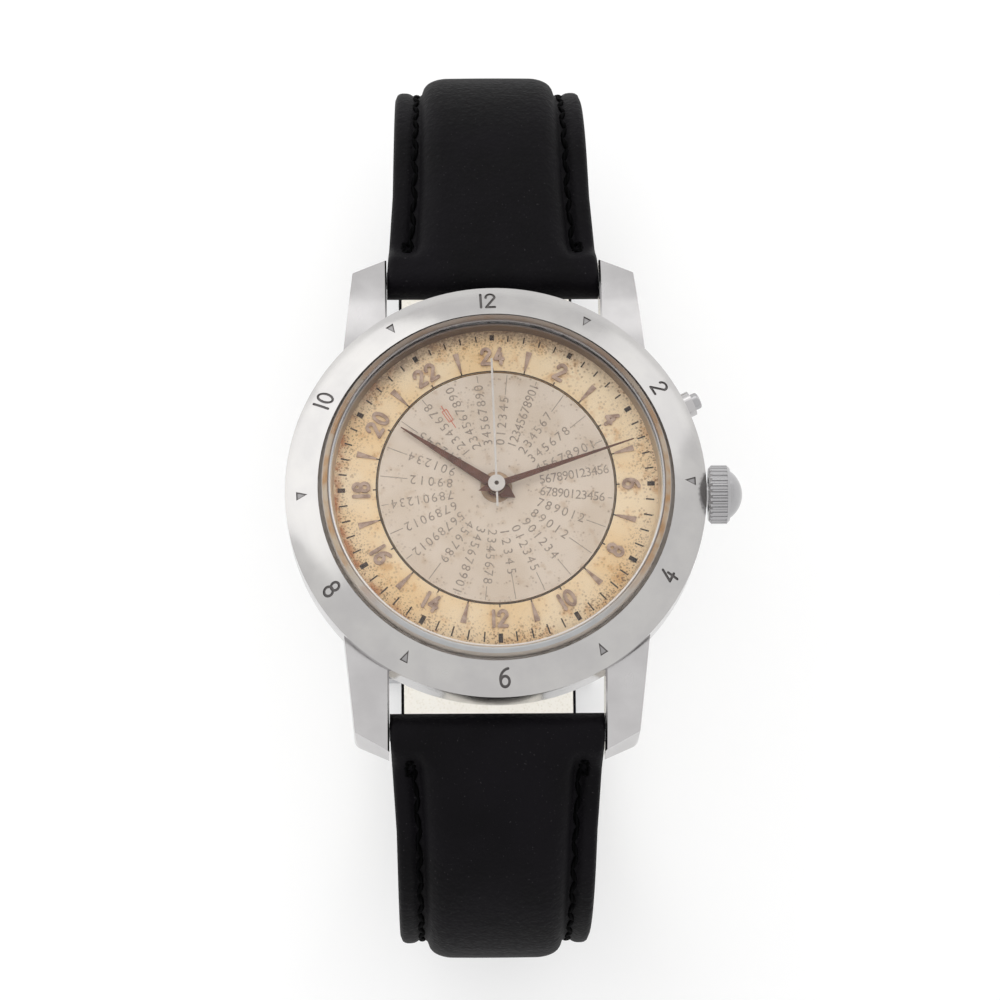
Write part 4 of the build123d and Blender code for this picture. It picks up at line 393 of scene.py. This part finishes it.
# Tension ring: painted shade darkens it towards the top, with a little noise in it.
painted_ring_shade_rise = (-0.004, 0.013)
ring_steel, place, dress = finish("ring_steel", metallic=0.35, roughness=0.3)
tarnish_and_shade = place.part(1).rises(*painted_ring_shade_rise) * (0.8 + 0.2 * place.noise(500.0))
dress(Base_Color=tarnish_and_shade.blend(rgb(236, 222, 200), rgb(128, 112, 104)))
paint(ring_steel, "tension_ring")


# Dial: a brass ring lacquered cream, which age has turned yellow and freckled brown. Its rim is darker,
# partly from aged patina all round and partly from painted shade towards the top and the upper left.
# Its minute track is printed in dark ink and its hours are applied metal.
print_height = 0.00791
ink_thickness = 0.00002
dial_turn = math.radians(1.1)
hours_round = 24
minutes_round = 60
minutes_to_block = 5
stain_depth = 0.00003
dot_scale = 3000.0
dot_edge = (0.24, 0.38)
speck_scale = 5000.0
speck_edge = (0.26, 0.42)
freckled_reach = (0.0112, 0.0139)
stained_reach = (0.0130, 0.0138)
stained_side = (0.006, 0.012)
# The rim darkens over these reaches: a little aged patina all round, and painted shade towards the top and
# upper left.
rim_patina_and_shade_reach = (0.0122, 0.0138)
painted_shade_upper = (0.0045, 0.0120)
painted_shade_upper_left = (-0.004, 0.020)
dial_lacquer, place, dress = finish("dial_lacquer", roughness=0.45)
x = place.part(0)
y = place.part(1)
reach = place.reach()
broad = place.noise(170.0, 3.0)
medium = place.noise(700.0, 4.0, 0.6)
freckles = place.noise(3600.0, 3.0, 0.65)
dots = 1 - place.cells("F1", dot_scale).rises(*dot_edge)
specks = 1 - place.cells("F1", speck_scale).rises(*speck_edge)
cream = broad.rises(0.35, 0.68).blend(rgb(254, 232, 196), rgb(248, 214, 162))
ochre = (medium.rises(0.52, 0.70) * 0.55).blend(cream, rgb(212, 156, 88))
shaded_toward_upper_left = (y - x).rises(*painted_shade_upper_left)
outwards = reach.rises(*freckled_reach)
soiled = dots * medium.rises(0.38, 0.56) * (0.40 + 0.60 * outwards)
speckled = (soiled * 0.75).blend(ochre, rgb(138, 96, 60))
dotted = (specks * broad.rises(0.34, 0.52) * outwards * 0.75).blend(speckled, rgb(120, 84, 60))
stain = reach.rises(*stained_reach) * (x * -1.0).rises(*stained_side) * medium.rises(0.42, 0.60)
burnt = (stain * 0.8).blend(dotted, rgb(196, 116, 62))
# Painted shade: the rim grows darker towards the top and the upper left, over a little patina all round.
upper = (y - 0.1 * x).rises(*painted_shade_upper)
rim_patina_and_shade = reach.rises(*rim_patina_and_shade_reach) * (0.12 + 0.5 * upper + 0.38 * shaded_toward_upper_left * upper)
clouded_patina_and_shade = rim_patina_and_shade * (0.6 + 0.4 * freckles.rises(0.4, 0.6))
aged_and_shaded = (clouded_patina_and_shade * 0.9).blend(burnt, rgb(134, 108, 90))
dress(Base_Color=aged_and_shaded, Roughness=0.42 + 0.2 * medium, Bump=(freckles + medium, 0.12, stain_depth))
paint(dial_lacquer, "dial")

dial_ink, place, dress = finish("dial_ink", roughness=0.6)
worn = place.noise(1800.0, 3.0)
dress(Base_Color=worn.rises(0.35, 0.75).blend(rgb(38, 28, 22), rgb(84, 62, 46)))

applied_metal, place, dress = finish("applied_metal", metallic=0.55, roughness=0.42)
tarnish_and_shade = place.noise(1500.0, 3.0)
dress(Base_Color=tarnish_and_shade.rises(0.35, 0.7).blend(rgb(190, 166, 150), rgb(156, 130, 114)),
      Roughness=0.35 + 0.25 * tarnish_and_shade)
paint(applied_metal, "hour_numerals", "hour_wedges")


def stroke(reach, length, width, turn):
    """One printed stroke that points at the centre of the dial."""
    bpy.ops.mesh.primitive_cube_add(
        size=1, location=(reach * math.cos(turn), reach * math.sin(turn), print_height),
        rotation=(0, 0, turn), scale=(length, width, ink_thickness))
    return bpy.context.object


def joined(name, pieces, material, body):
    """Join copies to one piece with its place in its mesh, and let it ride on a body."""
    bpy.ops.object.select_all(action="DESELECT")
    for piece in pieces:
        piece.select_set(True)
    bpy.context.view_layer.objects.active = pieces[0]
    bpy.context.view_layer.update()
    bpy.ops.object.join()
    whole = bpy.context.object
    whole.name = name
    bpy.ops.object.transform_apply(location=True, rotation=True, scale=True)
    whole.data.materials.clear()
    whole.data.materials.append(material)
    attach(whole, body)
    bpy.ops.object.select_all(action="DESELECT")


minute_reach = 0.01312
minute_length = (0.00054, 0.00088)
minute_width = 0.00012
block_reach = 0.01318
block_length = (0.00048, 0.00080)
block_width = 0.00038
hour_tick_reach = 0.01036
hour_tick_length = 0.00028
hour_tick_width = 0.00010
marks = []
for minute in range(minutes_round):
    turn = math.pi / 2 - minute * math.tau / minutes_round + dial_turn
    lower = (1 - math.sin(turn)) / 2
    if minute % minutes_to_block:
        length = minute_length[0] + (minute_length[1] - minute_length[0]) * lower
        marks.append(stroke(minute_reach, length, minute_width, turn))
    else:
        length = block_length[0] + (block_length[1] - block_length[0]) * lower
        marks.append(stroke(block_reach, length, block_width, turn))
for hour in range(hours_round):
    turn = math.pi / 2 - hour * math.tau / hours_round + dial_turn
    marks.append(stroke(hour_tick_reach, hour_tick_length, hour_tick_width, turn))
joined("dial_track", marks, dial_ink, "watch_head")

line_inner_reach = 0.01016
line_outer_reach = 0.01026
line_corners = 192
bpy.ops.mesh.primitive_circle_add(vertices=line_corners, radius=line_inner_reach,
                                  location=(0, 0, print_height - ink_thickness / 2))
circle = bpy.context.object
wider = line_outer_reach / line_inner_reach
bpy.ops.object.mode_set(mode="EDIT")
bpy.ops.mesh.extrude_edges_move()
bpy.ops.transform.resize(value=(wider, wider, 1))
bpy.ops.mesh.select_all(action="SELECT")
bpy.ops.mesh.extrude_region_move(TRANSFORM_OT_translate={"value": (0, 0, ink_thickness)})
bpy.ops.mesh.select_all(action="SELECT")
bpy.ops.mesh.normals_make_consistent(inside=False)
bpy.ops.object.mode_set(mode="OBJECT")
joined("dial_line", [circle], dial_ink, "watch_head")


# World disc: a turned disc lacquered beige-grey, on the twenty-four hour wheel's pipe. Where such a disc
# names places it has plain numbers here, read outwards from the centre, each with a fine printed line.
disc_dot_edge = (0.20, 0.34)
disc_lacquer, place, dress = finish("disc_lacquer", roughness=0.5)
broad = place.noise(220.0, 3.0)
medium = place.noise(900.0, 4.0)
freckles = place.noise(3200.0, 2.0, 0.6)
beige = broad.rises(0.35, 0.65).blend(rgb(232, 217, 200), rgb(222, 205, 185))
warm = (medium.rises(0.55, 0.75) * 0.5).blend(beige, rgb(200, 172, 140))
dots = 1 - place.cells("F1", dot_scale).rises(*disc_dot_edge)
dotted = (dots * medium.rises(0.46, 0.62) * 0.45).blend(warm, rgb(140, 110, 86))
dress(Base_Color=dotted, Roughness=0.45 + 0.2 * medium, Bump=(freckles + medium, 0.10, stain_depth))
paint(disc_lacquer, "world_disc")

disc_ink, place, dress = finish("disc_ink", roughness=0.6)
worn = place.noise(2400.0, 3.0)
dress(Base_Color=worn.rises(*cloud_range).blend(rgb(150, 136, 124), rgb(184, 168, 152)))

red_ink, place, dress = finish("red_ink", roughness=0.6)
dress(Base_Color=place.noise(2400.0).blend(rgb(214, 92, 70), rgb(224, 130, 104)))

disc_turn = math.radians(-5.9)
number_start = 0.0037
number_height = 0.00080
capital_share = 0.72
number_gap = 0.0003
line_end = 0.0099
line_width = 0.00006
number_counts = (6, 11, 6, 6, 8, 12, 11, 6, 5, 6, 6, 5, 7, 9, 6, 8, 7, 8, 5, 6, 6, 8, 9, 8)
digit_pitch = 0.00056
long_count = 10
long_pitch = 0.00043
outline_steps = 3
disc_marks = []
for step, count in enumerate(number_counts):
    turn = math.pi / 2 - step * math.tau / hours_round + disc_turn
    digits = "".join(str((step + place_in_row) % 10) for place_in_row in range(count))
    length = number_height + count * (digit_pitch if count < long_count else long_pitch)
    bpy.ops.object.text_add(location=(0, 0, 0))
    words = bpy.context.object
    words.data.body = digits
    words.data.size = number_height / capital_share
    words.data.align_x = "LEFT"
    words.data.align_y = "CENTER"
    words.data.extrude = ink_thickness / 2
    words.data.resolution_u = outline_steps
    bpy.context.view_layer.update()
    plain_width = words.dimensions.x
    advance = plain_width / count
    words.data.space_character = (length - advance) / (plain_width - advance)
    bpy.context.view_layer.update()
    bpy.ops.object.convert(target="MESH")
    words = bpy.context.object
    words.matrix_world = Matrix.Rotation(turn, 4, "Z") @ Matrix.Translation((number_start, 0, print_height))
    disc_marks.append(words)
    line_start = number_start + length + number_gap
    line_length = line_end - line_start
    if line_length > 0:
        disc_marks.append(stroke(line_start + line_length / 2, line_length, line_width, turn))
joined("disc_numbers", disc_marks, disc_ink, "world_group")

marker_angle = math.radians(123.0)
marker_line = (0.0074, 0.0023)
marker_box = (0.0075, 0.0011, 0.00042)
marker_stroke = 0.00006
middle, length, width = marker_box
lean = width / 2 / middle
red_marks = [stroke(marker_line[0], marker_line[1], marker_stroke, marker_angle)]
for side in (-1, 1):
    red_marks.append(stroke(middle, length, marker_stroke, marker_angle + side * lean))
    red_marks.append(stroke(middle + side * length / 2, marker_stroke, width, marker_angle))
joined("disc_pointer", red_marks, red_ink, "world_group")


# Hands: two lance-shaped hands of darkened copper and a thin silvered seconds hand, pressed one over
# the other on the pipes at the centre, with the end of the seconds pivot showing in the last boss.
pivot_reach = (0.00016, 0.00022)
hand_copper, place, dress = finish("hand_copper", metallic=0.5, roughness=0.42)
patina = place.noise(1200.0, 3.0)
dress(Base_Color=patina.rises(0.35, 0.7).blend(rgb(112, 74, 60), rgb(92, 62, 50)),
      Roughness=0.42 + 0.15 * patina)
paint(hand_copper, "hour_hand", "minute_hand")

hand_silver, place, dress = finish("hand_silver", metallic=0.9, roughness=0.35)
plain = place.noise(1500.0).blend(rgb(214, 208, 202), rgb(192, 186, 180))
dress(Base_Color=place.reach().rises(*pivot_reach).blend(rgb(70, 58, 50), plain))
paint(hand_silver, "seconds_hand")


# Movement: gilt plate and bridges, brass wheels, polished steel winding parts, blued springs and ruby
# jewels, all screwed together under the dial and closed in by the case. Pipe ends at the dial are dull.
pipe_darkening = (0.0073, 0.0075)
wave_pitch = 3200.0
gilt, place, dress = finish("gilt_plate", metallic=1.0)
waves = place.math("SINE", (place.part(0) + place.part(1)) * wave_pitch)
dress(Base_Color=waves.rises(-1.0, 1.0).blend(rgb(206, 178, 140), rgb(224, 200, 164)),
      Roughness=0.3 + 0.1 * place.noise(900.0))
paint(gilt, "main_plate", "barrel_bridge", "train_bridge", "balance_cock", "pallet_bridge")

wheel_brass, place, dress = finish("wheel_brass", metallic=1.0)
fresh = place.noise(1500.0).blend(rgb(214, 176, 98), rgb(196, 156, 82))
shown = place.part(2).rises(*pipe_darkening)
dress(Base_Color=shown.blend(fresh, rgb(184, 158, 132)),
      Roughness=0.25 + 0.15 * place.noise(900.0) + 0.2 * shown)
paint(wheel_brass, "mainspring_barrel", "great_wheel", "third_wheel", "fourth_wheel", "minute_wheel",
      "hour_wheel", "disc_wheel", "balance_wheel")

movement_steel = polished("movement_steel", (196, 198, 202), 0.20, (1.0, 1.0, 0.2))
paint(movement_steel, "barrel_arbor", "ratchet_wheel", "crown_wheel", "click", "winding_pinion",
      "clutch_wheel", "setting_lever", "yoke", "escape_wheel", "pallet_fork", "cannon_pinion",
      "movement_screws")

blued, place, dress = finish("blued_steel", metallic=1.0)
dress(Base_Color=place.noise(1500.0).blend(rgb(52, 66, 120), rgb(74, 84, 130)),
      Roughness=0.25 + 0.1 * place.noise(700.0))
paint(blued, "mainspring", "hairspring", "pusher_spring")

ruby, place, dress = finish("ruby", roughness=0.12)
dress(Base_Color=place.noise(2500.0).blend(rgb(170, 18, 52), rgb(140, 10, 40)))
paint(ruby, "jewels")


# Strap: two halves of fine-grained black calf leather, each a skin drawn over a padded core, rolled
# round its bar and turned down to flat sewn edges, on a thin smooth lining of pale leather.
bar_place = (0.0200, 0.0019)
half_widths = ((0, 0.00915), (0.0090, 0.0086), (0.0400, 0.0079), (1, 0.0079))
thicknesses = ((0, 0.0038), (0.0025, 0.0038), (0.0080, 0.0037), (0.0550, 0.0022), (1, 0.0022))
end_reach = 0.0016
tail_thickness = 0.0022
layer_play = 0.00025
lining = 0.0008
lining_starts = (0.0015, 0.0035)
flange = 0.0019
flange_least = 0.00015
groove_width = 0.00050
groove_depth = 0.00042
groove_place = 0.0019
pad_round = 0.0022
pad_fall = 0.00012
pad_starts = (0.0010, 0.0037)
side_round = 0.0006
turned_edge = 0.00025
edge_fade = 0.0001
fine_band = 0.0042
heading_short = -11.0
heading_long = -21.0
top_radius = 0.060
side_radius = 0.0155
bottom_radius = 0.0125
short_turns = (12.45, 97.0, 59.55)
long_turns = (6.75, 92.0, 60.25)
bar_reach = 0.0020
climb_turn = 26.0
tip_length = 0.006
tip_flatness = 0.94
merge_distance = 0.000002
skin_columns = 84
skin_rows = 250
back_columns = 18
back_rows = 130
strap_smoothing = math.radians(50)


def strap_stretches(heading, arcs):
    """The stretches of a strap half, each its length, start, heading in radians and radius."""
    heading = math.radians(heading)
    start = bar_place
    stretches = []
    for radius, turn in arcs:
        turn = math.radians(turn)
        stretches.append((radius * turn, start, heading, radius))
        middle = start[0] + radius * math.sin(heading), start[1] - radius * math.cos(heading)
        heading -= turn
        start = middle[0] - radius * math.sin(heading), middle[1] + radius * math.cos(heading)
    return stretches, start, middle


def strap_station(stretches, way):
    """The point and the outward direction at a distance along a strap half, as Y and Z."""
    for stretch in stretches:
        length, start, heading, radius = stretch
        if way <= length or stretch is stretches[-1]:
            break
        way -= length
    if radius and way > 0:
        middle = start[0] + radius * math.sin(heading), start[1] - radius * math.cos(heading)
        heading -= way / radius
        point = middle[0] - radius * math.sin(heading), middle[1] + radius * math.cos(heading)
    else:
        point = start[0] + way * math.cos(heading), start[1] + way * math.sin(heading)
    return point, (-math.sin(heading), math.cos(heading))


def between(way, rows):
    """A value between the two rows of a table that lie around a distance."""
    way = max(0, way)
    for (low, first), (high, second) in zip(rows, rows[1:]):
        if way <= high:
            return first + (second - first) * (way - low) / (high - low)
    return rows[-1][1]


def smooth(value, low, high):
    """Nought below low, one above high and a smooth rise between."""
    share = min(1.0, max(0.0, (value - low) / (high - low)))
    return share * share * (3 - 2 * share)


def strap_top(way, across):
    """The height of the upper's face over the strap's middle line."""
    half = between(way, half_widths)
    thick = between(way, thicknesses)
    reach = abs(across)
    crown = thick / 2
    low = min(flange - thick / 2, crown - flange_least)
    groove = half - groove_place
    pad_edge = groove - groove_width
    share = min(1.0, max(0.0, (reach - pad_edge + pad_round) / pad_round))
    padded = low + (crown - low) * math.sqrt(1 - share * share) - pad_fall * (reach / half) ** 2
    padded -= groove_depth * math.exp(-((reach - groove) / groove_width) ** 2)
    plain = crown - pad_fall * (reach / half) ** 2
    height = plain + (padded - plain) * smooth(way, *pad_starts)
    if reach > half - side_round:
        share = min(1.0, (reach - half + side_round) / side_round)
        height -= side_round * (1 - math.sqrt(1 - share * share))
    return height


def strap_slab(name, stretches, length, side, layer, material, tip, rolled):
    """A closed slab drawn from a grid and laid along the strap's line, as its upper or its lining."""
    upper = layer == "upper"
    start = -end_reach if upper else lining_starts[0]
    end = length + (tail_thickness / 2 if rolled and upper else 0)
    if tip and not upper:
        end -= turned_edge
    columns = skin_columns if upper else back_columns
    rows = skin_rows if upper else back_rows
    bpy.ops.object.select_all(action="DESELECT")
    bpy.ops.mesh.primitive_grid_add(x_subdivisions=columns, y_subdivisions=rows, size=2)
    slab = bpy.context.object
    slab.name = name
    bpy.ops.object.mode_set(mode="EDIT")
    bpy.ops.mesh.select_all(action="SELECT")
    bpy.ops.mesh.extrude_region_move(TRANSFORM_OT_translate={"value": (0, 0, -1)})
    bpy.ops.object.mode_set(mode="OBJECT")
    for vertex in slab.data.vertices:
        column, row, layer_place = vertex.co
        way = start + (end - start) * (row + 1) / 2
        half = between(way, half_widths)
        if tip and way > end - tip_length:
            half *= math.sqrt(1 - ((way - end + tip_length) / tip_length) ** 2 * tip_flatness)
        if not upper:
            half -= turned_edge
        broad = max(half - fine_band, half / 2)
        share = abs(column)
        if share < 0.5:
            across = 2 * share * broad
        else:
            across = broad + (2 * share - 1) * (half - broad)
        across = math.copysign(across, column)
        thick = between(way, thicknesses)
        bottom = -thick / 2
        if upper:
            top = strap_top(way, across)
            bare = smooth(abs(across), half - turned_edge - edge_fade, half - turned_edge)
            if tip:
                bare = max(bare, smooth(way, end - turned_edge - edge_fade, end - turned_edge))
            bottom += lining * smooth(way, *lining_starts) * (1 - bare)
            over = 0
            if way < 0:
                over = way / start
            elif way > length:
                over = (way - length) / (end - length)
            if over:
                bottom = -thick / 2
                round_share = math.sqrt(max(0.0, 1 - over * over))
                top *= round_share
                bottom *= round_share
        else:
            top = lining - thick / 2
        height = top if layer_place > -0.5 else bottom
        point, out = strap_station(stretches, way)
        vertex.co = (across, side * (point[0] + height * out[0]), point[1] + height * out[1])
    slab.data.update()
    bpy.ops.object.mode_set(mode="EDIT")
    bpy.ops.mesh.select_all(action="SELECT")
    bpy.ops.mesh.remove_doubles(threshold=merge_distance)
    bpy.ops.mesh.normals_make_consistent(inside=False)
    bpy.ops.object.mode_set(mode="OBJECT")
    bpy.ops.object.shade_smooth_by_angle(angle=strap_smoothing)
    slab.data.materials.append(material)
    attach(slab, "watch_head")
    return slab


short_stretches, short_end, short_middle = strap_stretches(
    heading_short, zip((top_radius, side_radius, bottom_radius), short_turns))
short_stretches.append((short_end[0] - bar_reach, short_end, -math.pi, 0))
short_length = sum(stretch[0] for stretch in short_stretches)
layer_gap = tail_thickness + layer_play
side_end = strap_stretches(heading_long, zip((top_radius, side_radius), long_turns))[1]
long_radius = (side_end[1] - short_end[1] + layer_gap) / (1 - math.cos(math.radians(long_turns[2])))
long_stretches, long_end = strap_stretches(
    heading_long, zip((top_radius, side_radius, long_radius), long_turns))[:2]
long_run = long_end[0] + short_middle[0]
climb = bottom_radius + layer_gap
long_stretches.append((long_run, long_end, -math.pi, 0))
climb_start = long_end[0] - long_run, long_end[1]
long_stretches.append((math.radians(climb_turn) * climb, climb_start, -math.pi, climb))
long_length = sum(stretch[0] for stretch in long_stretches)

grain_depth = 0.00012
pore_scale = 3400.0
pebble_scale = 1900.0
fold_scale = 520.0
lint_scale = 5200.0
lint_edge = (0.72, 0.78)
calf, place, dress = finish("black_calf", roughness=0.6, Specular_IOR_Level=0.08)
pores = place.cells("F1", pore_scale)
pebble = place.cells("SMOOTH_F1", pebble_scale)
folds = place.stretched(0.22, 1.0, 1.0).noise(fold_scale, 3.0)
lint = place.noise(lint_scale, 1.0)
broad = place.noise(140.0, 2.0)
grain = pebble * 0.6 + pores * 0.4
black = broad.rises(*cloud_range).blend(rgb(6, 5, 7), rgb(12, 10, 14))
dress(Base_Color=(lint.rises(*lint_edge) * 0.5).blend(black, rgb(60, 58, 60)),
      Roughness=0.50 + 0.16 * grain + 0.08 * broad,
      Bump=(grain + folds * 0.9, 0.55, grain_depth))

lining_depth = 0.00004
lining_pore_scale = 3600.0
lining_wear_scale = 260.0
lining_skin, place, dress = finish("lining_skin", roughness=0.7, Specular_IOR_Level=0.2)
pores = place.cells("F1", lining_pore_scale).rises(0.1, 0.5)
worn = place.noise(lining_wear_scale, 4.0).rises(0.35, 0.7)
dress(Base_Color=(pores * 0.6 + worn * 0.4).blend(rgb(238, 233, 222), rgb(247, 244, 237)),
      Bump=(pores + place.noise(3200.0, 3.0), 0.5, lining_depth))

hole_radius = 0.0008
hole_pitch = 0.0065
hole_slot_length = 0.0036
prong_hole_offset = 0.0015
prong_slot_half = 0.00075
hole_depth = 0.004
round_corners = 24
holes_each_way = 2


def punched(skin, cutters):
    """Cut holes in a leather piece with solid punches, which are then thrown away."""
    bpy.ops.object.select_all(action="DESELECT")
    for cutter in cutters:
        cut = skin.modifiers.new("punch", "BOOLEAN")
        cut.operation = "DIFFERENCE"
        cut.solver = "EXACT"
        cut.object = cutter
        bpy.context.view_layer.objects.active = skin
        bpy.ops.object.modifier_apply(modifier=cut.name)
        bpy.data.objects.remove(cutter)


def round_punch(y, level, radius, length):
    """A round or slotted punch, upright on the middle line."""
    bpy.ops.mesh.primitive_cylinder_add(vertices=round_corners, radius=radius, depth=hole_depth,
                                        location=(0, y, level))
    punch = bpy.context.object
    spread = length / 2 - radius
    if spread > 0:
        for vertex in punch.data.vertices:
            vertex.co.y += math.copysign(spread, vertex.co.y)
    return punch


short_level = short_end[1]
long_level = long_end[1]
for layer, material, slot in (("upper", calf, "black_leather"), ("lining", lining_skin, "lining_leather")):
    ending = 0 if layer == "upper" else -tail_thickness / 2
    short = strap_slab(f"strap_short_{layer}_skin", short_stretches, short_length + ending, 1, layer,
                       material, False, True)
    bpy.ops.mesh.primitive_cube_add(
        size=1, location=(0, bar_reach + hole_slot_length / 2 - tail_thickness / 2, short_level),
        scale=(2 * prong_slot_half, hole_slot_length + tail_thickness, hole_depth))
    punched(short, [bpy.context.object])
    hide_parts(f"strap_short_{layer}")
    long = strap_slab(f"strap_long_{layer}_skin", long_stretches, long_length, -1, layer, material,
                      True, False)
    punches = []
    for step in range(-holes_each_way, holes_each_way + 1):
        middle = bar_reach - prong_hole_offset + step * hole_pitch
        length = 2 * hole_radius if step else hole_slot_length
        punches.append(round_punch(middle, long_level, hole_radius, length))
    punched(long, punches)
    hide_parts(f"strap_long_{layer}")
    layer == "upper"


# Stitches: waxed black thread in the groove beside the pad, each stitch slanting against the last, sewn
# through the upper and the lining and ending in a small loop at the lugs.
thread_depth = 0.00005
twist_scale = 900.0
thread, place, dress = finish("black_thread", roughness=0.7, Specular_IOR_Level=0.02)
twist = place.node("TexWave", {"wave_type": "BANDS"}, Vector=place, Scale=twist_scale)
dress(Base_Color=twist.blend(rgb(2, 2, 2), rgb(8, 8, 9)), Bump=(twist, 0.5, thread_depth))
stitch_sides = 8
stitch_rings = 6
stitch_pitch = 0.0014
stitch_half_length = 0.00088
thread_radius = 0.00026
stitch_start = 0.0030
stitch_end = 0.0060
stitch_slant = math.radians(16)
knot_stitches = 9
knot_place = 0.0031
knot_half_width = 0.00036
knot_half_length = 0.00070
knot_share = 0.45
for name, stretches, length, side in (("short", short_stretches, short_length, 1),
                                      ("long", long_stretches, long_length - tip_length / 2, -1)):
    bpy.ops.mesh.primitive_uv_sphere_add(segments=stitch_sides, ring_count=stitch_rings, radius=1)
    model = bpy.context.object
    stitches = []
    count = int((length - stitch_end - stitch_start) / stitch_pitch)
    for row in (-1, 1):
        seats = [(stitch_start + (step + 0.5) * stitch_pitch, 0.0, (-1) ** step * stitch_slant, 1.0)
                 for step in range(count)]
        for step in range(knot_stitches):
            turn = math.tau * step / knot_stitches
            lean = math.atan2(-knot_half_width * math.sin(turn), knot_half_length * math.cos(turn))
            seats.append((knot_place + knot_half_length * math.sin(turn),
                          row * knot_half_width * (1 + math.cos(turn)), row * lean, knot_share))
        for way, shift, slant, share in seats:
            across = row * (between(way, half_widths) - groove_place) + shift
            point, out = strap_station(stretches, way)
            height = strap_top(way, across)
            centre = Vector((across, side * (point[0] + height * out[0]), point[1] + height * out[1]))
            along = Vector((math.sin(slant), -side * out[1] * math.cos(slant),
                            out[0] * math.cos(slant)))
            upwards = Vector((0, side * out[0], out[1]))
            sideways = along.cross(upwards)
            copy = bpy.data.objects.new("stitch", model.data.copy())
            scene.collection.objects.link(copy)
            turned = Matrix((sideways, along, upwards)).transposed().to_4x4()
            radius = thread_radius * math.sqrt(share)
            shape = Matrix.Diagonal((radius, stitch_half_length * share, radius, 1))
            copy.matrix_world = Matrix.Translation(centre) @ turned @ shape
            stitches.append(copy)
    bpy.data.objects.remove(model)
    joined(f"strap_{name}_stitches", stitches, thread, "watch_head")


# Keepers: two loops of the same leather, cut as strips, folded round both strap halves and sewn at the
# inside, one held by the short half and one free to slide.
keeper_wall = 0.0009
keeper_round = 0.0003
keeper_round_steps = 3
keeper_smoothing = math.radians(40)
for name, body in (("fixed_keeper", "watch_head"), ("free_keeper", "free_keeper_group")):
    low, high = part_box(name)
    middle = [(a + b) / 2 for a, b in zip(low, high)]
    sizes = [b - a for a, b in zip(low, high)]
    bpy.ops.object.select_all(action="DESELECT")
    bpy.ops.mesh.primitive_cube_add(size=1, location=middle, scale=sizes)
    loop = bpy.context.object
    loop.name = name + "_loop"
    bpy.ops.object.transform_apply(location=True, rotation=True, scale=True)
    opening = sizes[0] - 2 * keeper_wall, sizes[1] * 2, sizes[2] - 2 * keeper_wall
    bpy.ops.mesh.primitive_cube_add(size=1, location=middle, scale=opening)
    punched(loop, [bpy.context.object])
    edges = loop.modifiers.new("edges", "BEVEL")
    edges.width = keeper_round
    edges.segments = keeper_round_steps
    edges.limit_method = "ANGLE"
    bpy.ops.object.modifier_apply(modifier=edges.name)
    bpy.ops.object.shade_smooth_by_angle(angle=keeper_smoothing)
    loop.data.materials.append(calf)
    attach(loop, body)
    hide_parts(name)


# Buckle: a bent and polished steel frame, its prong and the pin that both turn on, which the end of the
# short half wraps.
buckle_steel = polished("buckle_steel", (190, 190, 192), 0.18, (0.2, 1.0, 1.0))
paint(buckle_steel, "buckle_frame", "buckle_prong", "buckle_bar")
